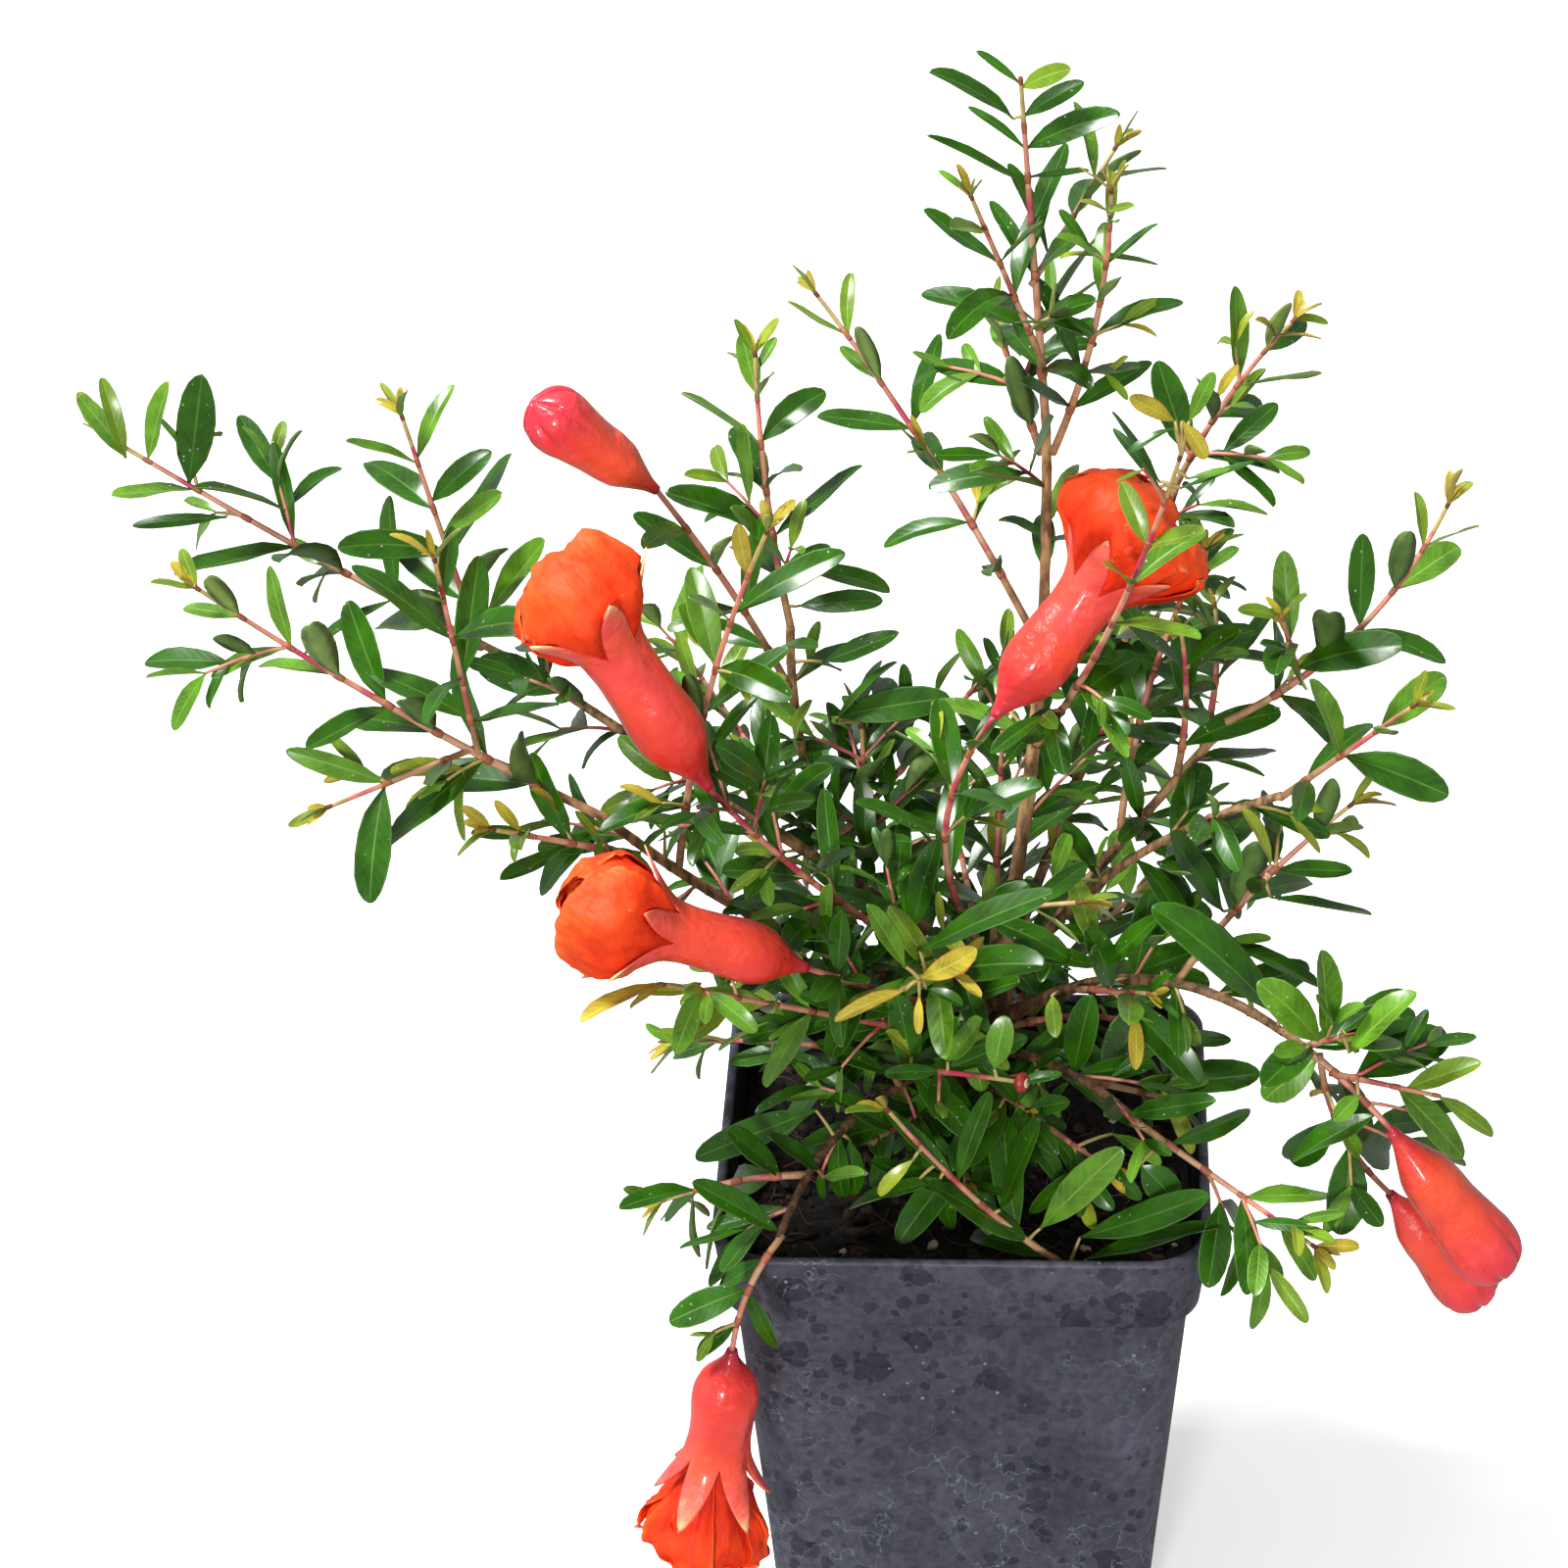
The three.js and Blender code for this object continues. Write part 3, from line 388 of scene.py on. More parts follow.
def curvePoint(curve, t):
    # A quadratic curve's point at t from 0 to 1.
    t = np.asarray(t, float)[..., None]
    return (1 - t) ** 2 * curve[0] + 2 * t * (1 - t) * curve[1] + t**2 * curve[2]


def curveLengths(curve, steps=200):
    # Values of t at equal steps, and the curve's length up to each.
    t = np.linspace(0, 1, steps + 1)
    line = curvePoint(curve, t)
    return t, np.concatenate([[0], np.cumsum(np.linalg.norm(np.diff(line, axis=0), axis=1))])


def along(curve, share):
    # The point and the heading at a share of the curve's length.
    t, lengths = curveLengths(curve)
    t = np.interp(np.asarray(share, float) * lengths[-1], lengths, t)
    slope = (1 - t)[..., None] * (curve[1] - curve[0]) + t[..., None] * (curve[2] - curve[1])
    return curvePoint(curve, t), unit(slope)


def squareTo(heading):
    # A unit vector square to a heading.
    return unit(np.cross((0.23, 0.11, 1), heading))


def turnedAbout(axis, aside, angle):
    # A vector square to an axis, turned about it.
    return aside * math.cos(angle) + np.cross(axis, aside) * math.sin(angle)


def spreadFrom(heading, side, angle):
    # The direction that leans off a heading to one side by an angle.
    return heading * math.cos(angle) + side * math.sin(angle)


def limbStart(row, parent, footRadius):
    # Just past the parent's tip, or just off its side, as the solids start.
    if "start" in row:
        return np.asarray(row["start"], float)
    point, heading = along(parent["curve"], row["at"])
    first = along(limbCurve(point, row["tip"], row.get("bow", (0, 0, 0))), 0.0)[1]
    lean = first @ heading
    if row["at"] == 1:
        return point + heading * (gap + footRadius * math.sqrt(1 - lean * lean))
    side = unit(first - lean * heading)
    return point + side * (float(parent["radiusAt"](row["at"])) + gap + footRadius * abs(lean))


# Trunk and boughs.
soil = dict(top=70.8, dip=1.1)
trunk = dict(top=(6, 2, 110), foot=2.7, tip=1.7, flare=1.9, flareReach=0.1, roots=4, rootShare=0.3)
bark = dict(
    sides=28, perMillimetre=1.6, slim=0.82, ridges=0.12, lumps=0.14, collar=0.7, collarReach=2.2, sunk=1.6,
    scarsEvery=7.5, scarShare=0.05, scar=1.09,
)
limbs = {}


def trunkRadius(share, angle=0.0):
    # The taper from foot to tip, and a root flare that fades up the trunk and stands out as four roots.
    flare = trunk["flare"] * np.exp(-share / trunk["flareReach"])
    roots = 1 + trunk["rootShare"] * np.cos(trunk["roots"] * angle)
    return mix(trunk["foot"], trunk["tip"], share) + flare * roots


def taper(thick, thin):
    # A radius that falls evenly from foot to tip.
    return lambda share, angle=0.0: mix(thick, thin, share)


trunkFoot = (0, 0, soil["top"] + gap)
trunkMiddle = (0, 0, mix(soil["top"], trunk["top"][2], 0.5))
limbs["trunk"] = dict(curve=np.array([trunkFoot, trunkMiddle, trunk["top"]], float), radiusAt=trunkRadius)
for name, row in boughs.items():
    parent = limbs[row["on"]]
    curve = limbCurve(limbStart(row, parent, row["thick"]), row["tip"], row.get("bow", (0, 0, 0)))
    limbs[name] = dict(curve=curve, radiusAt=taper(row["thick"], row["thin"]))


def barkTube(name, limb):
    # A limb with its bark: the taper, slimmer than the solid's, a collar where it leaves its parent, long
    # ridges that follow the limb, low lumps, and a ring of scars wherever a pair of leaves once stood.
    curve, radiusAt = limb["curve"], limb["radiusAt"]
    length = curveLengths(curve)[1][-1]
    shares = np.linspace(0, 1, max(12, int(length * bark["perMillimetre"])))
    line, heading = along(curve, shares)
    inward = np.array((0, 0, 1)) if name == "trunk" else heading[0]
    line = np.concatenate([[line[0] - inward * bark["sunk"]], line])
    shares = np.concatenate([[0], shares])
    angles = fullTurn(bark["sides"])
    share, angle = np.meshgrid(shares, angles, indexing="ij")
    radius = bark["slim"] * radiusAt(share, angle)
    if name != "trunk":
        radius = radius + bark["collar"] * np.exp(-share * length / bark["collarReach"])
    place = np.stack([np.cos(angle) * 2, np.sin(angle) * 2, share * length / 5], -1)
    seed = 40 + list(limbs).index(name)
    ridges = bark["ridges"] * waves(place, seed, 3.2)
    lumps = bark["lumps"] * waves(place / 3, seed + 50, 3)
    scars = np.abs((share * length / bark["scarsEvery"]) % 1 - 0.5) < bark["scarShare"]
    radius = radius * (1 + ridges + lumps) * np.where(scars, bark["scar"], 1.0)
    return tube(line, radius, bark["sides"])


def barkMaterial():
    # Brown at the foot, tan higher up, with fine ridges and darker cracks that run up the limbs.
    material, shader = newMaterial("bark", (125, 88, 60), 0.72)
    place = objectPlace(material)
    height = addNode(material, "ShaderNodeSeparateXYZ", {"Vector": place}).outputs["Z"]
    rise = addNode(material, "ShaderNodeMapRange", {"Value": height, "From Min": 0.075, "From Max": 0.15})
    tones = [(0.0, (66, 44, 30)), (0.45, (126, 90, 58)), (1.0, (184, 144, 100))]
    age = ramp(material, rise.outputs["Result"], tones)
    grain = objectNoise(material, 900, 5, (1, 1, 0.25))
    cracks = ramp(material, grain, [(0.38, (74, 58, 48)), (0.58, (255, 250, 240))])
    paint(material, shader, blended(material, 0.75, age, cracks, "MULTIPLY"))
    addBump(material, shader, objectNoise(material, 1400, 4, (1, 1, 0.3)), 0.8, 0.0004)
    return material


barkPoints, barkFaces = joined([barkTube(name, limb) for name, limb in limbs.items()])
makePiece("bark", barkPoints, barkFaces, [barkMaterial()], "bark", list(limbs))


# Shoots: the stem of each mass and its side twigs, then finer twigs that the same rule carries on.
twig = dict(
    foot=0.66, sideFoot=0.54, tip=0.42, slim=0.8, bloomTip=0.45, swollen=0.12, bare=0.16, sideBare=0.18,
    seed=100, sides=7, sunk=1.2,
)
leaf = dict(
    turn=35, turnJitter=24, spread=58, youngSpread=32, spreadJitter=18, stagger=0.45, lengthJitter=0.15,
    low=0.82, young=0.5, budClear=2,
)
tuft = dict(leaf=4.5, leaves=3, start=0.6, turn=2.1, sizes=(0.7, 1.2), lean=0.35, sunk=0.4)
fine = dict(
    reach=(2.5, 7.0), lushReach=(6.0, 14.0), lean=48, spread=58, youngSpread=30, jitter=12, foot=0.36,
    tip=0.24, small=0.46, large=0.72, lushLarge=0.94, every=4.5, steps=4, sides=5, last=0.95,
)
lightSide = np.array((-0.3, -0.9, 0.3))  # where the window was: leaves turn a little towards it
shoots = []
for index, (name, row) in enumerate(masses.items()):
    parent = limbs.get(row["on"])
    start = limbStart(row, parent, twig["foot"])
    stem = limbCurve(start, row["tip"], row.get("bow", (0, 0, 0)))
    endsBough = row["on"] in boughs and row["at"] == 1
    thick = bark["slim"] * (boughs[row["on"]]["thin"] if endsBough else twig["foot"] + twig["swollen"])
    own = dict(name=name, row=row, draw=seededRandom(twig["seed"] + index), index=index)
    shoots.append(dict(own, key=name, curve=stem, bare=twig["bare"], foot=thick, ends=row, level=0))
    own.update(bare=twig["sideBare"], foot=twig["sideFoot"], level=1)
    for count, side in enumerate(row.get("twigs", ())):
        curve = limbCurve(along(stem, side["at"])[0], side["tip"], side.get("bow", (0, 0, 0)))
        shoots.append(dict(own, key=f"{name}.{count}", curve=curve, ends=side))


def leafRow(row, length, bare, draw, curve):
    # The rule: pairs set crosswise, smaller and more upright to the tip, each leaf's upper face turned
    # to the tip and the light.
    pairs = max(2, math.floor(length * (1 - bare) / row["every"] + 0.5))
    for pair in range(pairs + 1):
        share = pair / pairs
        at = bare + (1 - bare) * share
        heading = along(curve, at)[1]
        across = squareTo(heading)
        turn = math.radians(row.get("turn", leaf["turn"]) + 90 * pair + leaf["turnJitter"] * (draw() - 0.5))
        for half in (0, 1):
            side = turnedAbout(heading, across, turn + math.pi * half)
            jitter = leaf["spreadJitter"] * (draw() - 0.5)
            spread = math.radians(mix(leaf["spread"], leaf["youngSpread"], share) + jitter)
            swell = mix(leaf["low"], 1, math.sin(math.pi * min(1, 0.25 + share)))
            young = 1 - leaf["young"] * share**3
            size = row["leaf"] * swell * young
            size *= mix(1 - leaf["lengthJitter"], 1 + leaf["lengthJitter"], draw())
            shift = leaf["stagger"] * (half - 0.5) / length
            foot = along(curve, min(max(at + shift, 0.01), 0.99))[0]
            direction = spreadFrom(heading, side, spread)
            yield foot, direction, heading, side, size, share


def upperFace(direction, heading):
    # The upper face's normal: towards the tip and the light, square to the leaf.
    normal = 0.6 * heading + 0.75 * worldUp + 0.3 * lightSide
    return unit(normal - (normal @ direction) * direction)


leaves = dict(foot=[], direction=[], normal=[], size=[], width=[], age=[], owner=[], fine=[])
twigParts = []  # each a tube, its tone and its line
collars = []
boughLeaf, blossomPart, notableLeaf = -1, -2, -3  # owners that are no mass


def addLeaf(foot, direction, normal, size, age, owner, isFine, width=0.0):
    # A width of 0 is drawn later with the others.
    for key, value in zip(leaves, (foot, direction, normal, size, width, age, owner, isFine)):
        leaves[key].append(value)


def growLeaf(foot, direction, heading, size, age, owner, isFine):
    # A leaf whose upper face turns to the tip and the light.
    addLeaf(foot, direction, upperFace(direction, heading), size, age, owner, isFine)


def addTwig(curve, foot, tip, steps, sides, tone, sunk=0.6):
    # A twig as a tube that starts inside the limb it leaves.
    line, heading = along(curve, np.linspace(0, 1, steps))
    line = np.concatenate([[line[0] - heading[0] * sunk], line])
    radii = np.concatenate([[foot], mix(foot, tip, np.linspace(0, 1, steps))])
    twigParts.append((tube(line, radii, sides), tone, line))


def fineTwig(foot, heading, side, shoot, rng, lush):
    # A short twig in a leaf's axil, with pairs of small leaves.
    low, high = fine["lushReach"] if lush else fine["reach"]
    reach = rng.uniform(low, high)
    lean = math.radians(fine["lean"] + rng.uniform(-fine["jitter"], fine["jitter"]))
    direction = unit(spreadFrom(heading, side, lean) + 0.12 * rng.normal(size=3))
    curve = limbCurve(foot, foot + direction * reach, worldUp * 0.04 * reach)
    addTwig(curve, fine["foot"], fine["tip"], fine["steps"], fine["sides"], "pink" if lush else "green", 0.3)
    pairs = max(1, round(reach / fine["every"]))
    across = squareTo(direction)
    for pair in range(pairs):
        share = (pair + 1) / pairs
        point, ahead = along(curve, 0.1 + 0.88 * share)
        turn = rng.uniform(0, math.pi) if pair == 0 else turn + math.pi / 2
        for half in (0, 1):
            aside = turnedAbout(ahead, unit(across - (across @ ahead) * ahead), turn + math.pi * half)
            jitter = rng.uniform(-fine["jitter"], fine["jitter"])
            spread = math.radians(mix(fine["spread"], fine["youngSpread"], share) + jitter)
            size = rng.uniform(fine["small"], fine["lushLarge" if lush else "large"]) * mix(1.1, 0.75, share)
            size *= shoot["row"]["leaf"]
            age = min(1.0, 0.45 * share + rng.uniform(0, 0.5) + 0.3 * shoot["row"]["youth"] - 0.2 * lush)
            growLeaf(point, spreadFrom(ahead, aside, spread), ahead, size, age, shoot["index"], True)


for shoot in shoots:
    row, curve = shoot["row"], shoot["curve"]
    rng = np.random.default_rng(500 + 7 * shoot["index"] + 3 * shoot["level"] + len(twigParts))
    length = curveLengths(curve)[1][-1]
    bearsBloom = "bud" in shoot["ends"] or "flower" in shoot["ends"]
    steps = max(8, int(length / 1.6))
    tipRadius = twig["bloomTip"] if bearsBloom else twig["tip"] * twig["slim"]
    tone = "bloom" if bearsBloom else "shoot"
    addTwig(curve, shoot["foot"], tipRadius, steps, twig["sides"], tone, twig["sunk"])
    lush, youth = row["lush"], row["youth"]
    grown = leafRow(row, length, shoot["bare"], shoot["draw"], curve)
    for foot, direction, heading, side, size, share in grown:
        if bearsBloom and np.linalg.norm(foot - curve[2]) < leaf["budClear"]:
            continue
        age = share * (0.55 + youth) + rng.uniform(-0.12, 0.12)
        growLeaf(foot, direction, heading, size, age, shoot["index"], False)
        collars.append((foot, heading, mix(shoot["foot"], tipRadius, share)))
        if rng.random() < lush and share < fine["last"]:
            fineTwig(foot, heading, side, shoot, rng, rng.random() < lush)
    if not bearsBloom and not row.get("cut"):
        # A tuft of young leaves closes the shoot.
        tip, heading = along(curve, 1.0)
        for k in range(tuft["leaves"]):
            aside = turnedAbout(heading, squareTo(heading), tuft["start"] + tuft["turn"] * k)
            size = row.get("tuft", tuft["leaf"]) * rng.uniform(*tuft["sizes"])
            age = 1.0 + 0.1 * rng.random()
            way = unit(heading + tuft["lean"] * aside)
            growLeaf(tip - tuft["sunk"] * heading, way, heading, size, age, shoot["index"], True)

# Short leafy twigs along each bough, out of old axils, inside the crown.
inner = dict(
    leafy=0.7, every=6, low=0.18, high=0.97, turn=2.4, lush=0.6, lean=0.5, sizes=(11, 17), oldest=0.4,
    seed=900,
)
near = dict(row=dict(leaf=17, youth=0.1), index=boughLeaf)
for name, row in boughs.items():
    rng = np.random.default_rng(inner["seed"] + list(boughs).index(name))
    curve = limbs[name]["curve"]
    length = curveLengths(curve)[1][-1]
    count = int(length * row.get("leafy", inner["leafy"]) / inner["every"])
    turn = rng.uniform(0, 6)
    for k in range(count):
        foot, heading = along(curve, mix(inner["low"], inner["high"], (k + 0.5) / count))
        turn += inner["turn"]
        side = turnedAbout(heading, squareTo(heading), turn)
        fineTwig(foot, heading, side, near, rng, rng.random() < inner["lush"])
        way = unit(heading * inner["lean"] + side)
        size = rng.uniform(*inner["sizes"])
        growLeaf(foot, way, heading, size, rng.uniform(0, inner["oldest"]), boughLeaf, False)

# Leaves that are plain to see one by one: the limb that each grows from and how far along it, its foot,
# its tip, its width as a share of its length, and its age from 0 to 1.
notable = (
    ("front_high", 0.84, (-6, -28, 129), (12, -32, 143), 0.27, 0.50),
    ("flower_left", 0.26, (-8, -5, 118), (-5, -7, 134), 0.30, 0.40),
    ("flower_left", 0.28, (-8, -6, 120), (-19, -9, 129), 0.26, 0.45),
    ("front_high", 1.00, (-8, -34, 130), (-13, -38, 143), 0.28, 0.50),
    ("front_high", 1.00, (-8, -34, 126), (-18, -40, 126), 0.27, 0.95),
    ("front_high", 1.00, (-6, -34, 127), (4, -40, 136), 0.27, 0.93),
    ("front_high", 1.00, (-6, -34, 125), (-6, -38, 121), 0.30, 0.98),
    ("front_high", 0.96, (-5, -32, 125), (0, -36, 126), 0.40, 0.70),
    ("flower_right", 0.08, (3, 1, 112), (12, -2, 106), 0.34, 0.20),
    ("centre_back", 0.06, (6, 3, 111), (17, 1, 107), 0.30, 0.20),
    ("lower_right_bough", 0.28, (14, -3, 118), (21, -5, 117), 0.45, 0.30),
    ("right_wall", 0.52, (21, 3, 100), (30, 1, 105), 0.36, 0.30),
    ("arching_bough", 0.60, (30, -14, 117), (37, -17, 117), 0.60, 0.50),
    ("front_right_bough", 0.56, (16, -13, 98), (19, -16, 113), 0.38, 0.20),
    ("cut_shoot", 0.58, (-3, -26, 107), (-11, -29, 109), 0.30, 0.40),
    ("cut_shoot", 0.88, (5, -32, 111), (6, -34, 120), 0.45, 0.50),
    ("cut_shoot", 0.62, (-2, -27, 109), (4, -29, 118), 0.42, 0.40),
    ("cut_shoot", 0.14, (-11, -14, 98), (-22, -14, 104), 0.30, 0.15),
    ("left_wall", 0.54, (-24, 0, 94), (-36, 0, 90), 0.34, 0.15),
    ("front_left_bough", 0.60, (-22, -24, 98), (-41, -22, 88), 0.26, 0.10),
    ("front_runner", 0.44, (6, -34, 87), (12, -36, 105), 0.34, 0.55),
    ("front_runner", 0.28, (12, -33, 83), (23, -35, 99), 0.30, 0.55),
    ("front_runner", 0.62, (0, -35, 92), (-10, -37, 107), 0.18, 0.60),
    ("front_runner", 0.62, (0, -35, 93), (3, -36, 108), 0.24, 0.55),
    ("front_runner", 0.80, (-7, -37, 98), (-13, -40, 94), 0.34, 0.85),
    ("front_runner", 0.68, (-3, -36, 94), (-17, -35, 88), 0.34, 0.30),
    ("front_left_bough", 0.58, (-17, -23, 92), (-16, -24, 82), 0.36, 0.30),
    ("left_rim", 0.20, (-27, -32, 91), (-33, -34, 101), 0.42, 0.50),
    ("front_left_bough", 0.98, (-27, -41, 88), (-39, -43, 98), 0.30, 0.30),
    ("front_runner", 0.06, (19, -31, 76), (38, -35, 86), 0.27, 0.50),
    ("front_runner", 0.10, (18, -31, 80), (38, -32, 88), 0.24, 0.15),
    ("front_right_end", 0.12, (27, -26, 90), (33, -29, 86), 0.70, 0.30),
    ("front_right_bough", 0.48, (14, -11, 97), (28, -13, 89), 0.30, 0.10),
    ("front_runner", 0.72, (-6, -36, 94), (10, -34, 82), 0.28, 0.10),
    ("high_left_end.0", 0.12, (-73, 19, 160), (-63, 16, 174), 0.34, 0.35),
    ("high_left_end.0", 0.48, (-79, 21, 172), (-70, 20, 180), 0.36, 0.30),
    ("high_left_end.0", 0.62, (-80, 22, 178), (-73, 21, 187), 0.36, 0.30),
    ("high_left_end", 0.88, (-125, 27, 182), (-121, 26, 195), 0.33, 0.30),
    ("high_left_end", 0.78, (-118, 26, 178), (-115, 25, 197), 0.32, 0.25),
    ("high_left_end", 0.68, (-113, 25, 173), (-127, 22, 174), 0.15, 0.40),
    ("high_left_end", 0.94, (-128, 27, 182), (-133, 26, 193), 0.28, 0.60),
    ("high_left_end", 0.94, (-128, 27, 182), (-130, 26, 195), 0.25, 0.70),
    ("high_left_end", 1.00, (-133, 28, 184), (-142, 26, 184), 0.16, 0.70),
    ("leader_top", 0.89, (7, 17, 242), (-2, 13, 253), 0.28, 0.30),
    ("leader_top", 0.98, (7, 18, 247), (2, 20, 252), 0.20, 0.50),
    ("leader_top", 0.97, (8, 18, 246), (14, 14, 252), 0.36, 0.75),
    ("leader_top", 0.89, (8, 17, 242), (16, 16, 249), 0.30, 0.30),
    ("leader_top", 0.80, (8, 17, 237), (20, 12, 247), 0.29, 0.30),
    ("leader_top", 0.80, (8, 17, 237), (1, 20, 244), 0.16, 0.30),
    ("leader_top", 0.70, (8, 17, 232), (-5, 14, 241), 0.17, 0.30),
    ("leader_top", 0.72, (8, 17, 233), (18, 18, 234), 0.17, 0.30),
    ("upper_right", 0.92, (28, -21, 203), (22, -21, 214), 0.16, 0.30),
    ("upper_right", 0.92, (28, -21, 202), (23, -22, 212), 0.15, 0.30),
    ("upper_right", 1.00, (30, -22, 213), (24, -24, 218), 0.36, 0.90),
    ("upper_right", 1.00, (32, -22, 213), (35, -23, 221), 0.30, 0.60),
    ("upper_right", 1.00, (31, -22, 213), (35, -25, 209), 0.40, 0.95),
    ("upper_right", 1.00, (30, -22, 212), (23, -25, 211), 0.22, 0.60),
    ("upper_right", 0.92, (31, -21, 202), (41, -22, 207), 0.16, 0.30),
    ("upper_right", 0.96, (32, -22, 204), (38, -22, 206), 0.22, 0.30),
    ("back_left", 0.20, (-26, 26, 164), (-11, 24, 164), 0.30, 0.30),
    ("back_left", 0.06, (-26, 25, 158), (-13, 23, 161), 0.30, 0.30),
    ("left_front", 0.74, (-33, -22, 182), (-19, -24, 195), 0.26, 0.35),
    ("back_left_bough", 0.92, (-22, 22, 150), (-10, 20, 156), 0.30, 0.40),
    ("centre_high", 1.00, (-20, 17, 143), (-3, 15, 149), 0.30, 0.20),
    ("back_left_inner", 0.68, (-5, 29, 140), (-2, 28, 148), 0.40, 0.40),
    ("centre_high", 1.00, (-20, 17, 142), (-13, 16, 154), 0.22, 0.30),
    ("arching_bough", 0.98, (47, -25, 116), (33, -30, 139), 0.30, 0.10),
    ("right_low", 0.34, (39, -13, 127), (30, -15, 142), 0.34, 0.30),
    ("right_low", 0.52, (46, -12, 129), (61, -14, 127), 0.26, 0.40),
    ("right_low", 0.58, (47, -11, 132), (58, -12, 134), 0.30, 0.40),
    ("arching_end", 0.28, (53, -28, 111), (44, -31, 106), 0.50, 0.35),
    ("arching_end", 0.84, (61, -33, 104), (48, -36, 99), 0.42, 0.20),
    ("arching_end.2", 1.00, (57, -36, 117), (64, -38, 129), 0.42, 0.40),
    ("arching_end.2", 0.42, (53, -31, 117), (46, -34, 128), 0.42, 0.50),
    ("arching_end.0", 0.68, (66, -35, 111), (76, -36, 116), 0.36, 0.75),
    ("arching_end.0", 1.00, (70, -38, 110), (79, -39, 105), 0.30, 0.80),
)
viewSide = np.array((0.03, -0.86, 0.5))  # where the photograph was taken from
onLimb = 1.4  # a notable leaf whose foot is nearer than this to its limb needs no stalk
limbCurves = {name: limb["curve"] for name, limb in limbs.items()}
limbCurves.update({shoot["key"]: shoot["curve"] for shoot in shoots})
for home, at, foot, tip, width, age in notable:
    point, heading = along(limbCurves[home], at)
    foot, tip = np.array(foot, float), np.array(tip, float)
    if np.linalg.norm(foot - point) < onLimb:
        foot = point
    else:
        stalk = limbCurve(point, foot, worldUp * 0.2)
        addTwig(stalk, fine["foot"], fine["tip"], fine["steps"], fine["sides"], "green", 0.2)
    way = unit(tip - foot)
    normal = viewSide + worldUp
    normal = unit(normal - (normal @ way) * way)
    addLeaf(foot, way, normal, np.linalg.norm(tip - foot), age, notableLeaf, False, width)


# Leaves. What a leaf would touch is left clear: the pot, the soil, flowers and the limbs of others.
pot = dict(
    height=80, rim=76, lip=1.6, band=13, bandFoot=72.8, shoulder=69.6, foot=58.6, wall=1.1, floor=1.4,
    corner=9,
)
blade = dict(
    outline=(
        (0, 0.07), (0.05, 0.13), (0.13, 0.38), (0.26, 0.74), (0.42, 0.95), (0.61, 1.0), (0.79, 0.88),
        (0.91, 0.63), (0.975, 0.35), (1, 0.1),
    ),
    columns=(-1.0, -0.9, -0.055, 0.055, 0.9, 1.0), stripKinds=(2, 0, 1, 0, 2), width=0.31, widthJitter=0.045,
    narrowest=0.22, broadest=0.42, petiole=0.24, thickness=0.2, fold=22, curl=0.45, straightest=0.02,
    twist=0.5, roll=0.25, ripple=0.1, ripples=1.3, veins=9, veinLean=0.2,
)


def innerHalf(height):
    # Half width of the pot's inner face at a height.
    level = pot["height"] - pot["band"]
    top, foot = pot["rim"] / 2 - pot["lip"], pot["bandFoot"] / 2 - pot["wall"]
    low, high = pot["foot"] / 2 - pot["wall"], pot["shoulder"] / 2 - pot["wall"]
    below = mix(low, high, (height - pot["floor"]) / (level - pot["wall"] - pot["floor"]))
    return np.where(height > level, mix(foot, top, (height - level) / pot["band"]), below)


def pastCorner(x, y, straight):
    # How far a place lies from the middle of a round corner that begins where the side stops being straight.
    return np.hypot(np.maximum(np.abs(x) - straight, 0), np.maximum(np.abs(y) - straight, 0))


def clearOfPot(points, margin=0.6):
    # Whether places lie over the rim, outside the walls, or between the walls above the soil.
    x, y, z = np.moveaxis(points, -1, 0)
    half = np.maximum(np.abs(x), np.abs(y))
    corner = pastCorner(x, y, pot["rim"] / 2 - pot["corner"])
    outside = (half > pot["rim"] / 2 + margin) | (corner > pot["corner"] + margin)
    wall = innerHalf(np.maximum(z, soil["top"]))
    inside = (half < wall - margin) & (corner < pot["corner"] - pot["lip"] - margin)
    return (z > pot["height"] + margin) | outside | (inside & (z > soil["top"] + margin))


def segmentDistances(points, starts, ends):
    # The distance from every point to every straight segment.
    step = ends - starts
    lead = points[:, None] - starts
    share = np.clip((lead * step).sum(-1) / (step * step).sum(-1), 0, 1)
    return np.linalg.norm(lead - share[..., None] * step, axis=-1)


# What is kept clear: radii about buds, calyxes, petals, notable leaves and the view of each, with the
# shares of a flower's length where they start and end.
keepClear = dict(
    bud=4.4, calyx=5.6, calyxFrom=0.15, calyxTo=0.64, petals=9.4, petalsAt=0.76, view=4.5, viewFrom=0.3,
    viewTo=0.9, notable=2.2, apart=0.25, pastBox=2, rimHalf=27, rimFront=-34, rimTop=96,
)
blockStarts, blockEnds, blockRadii, blockOwners = [], [], [], []


def block(starts, ends, radius, owner):
    # Leaves of other owners stay a radius away from straight segments.
    blockStarts.extend(starts)
    blockEnds.extend(ends)
    blockRadii.extend([radius] * len(starts))
    blockOwners.extend([owner] * len(starts))


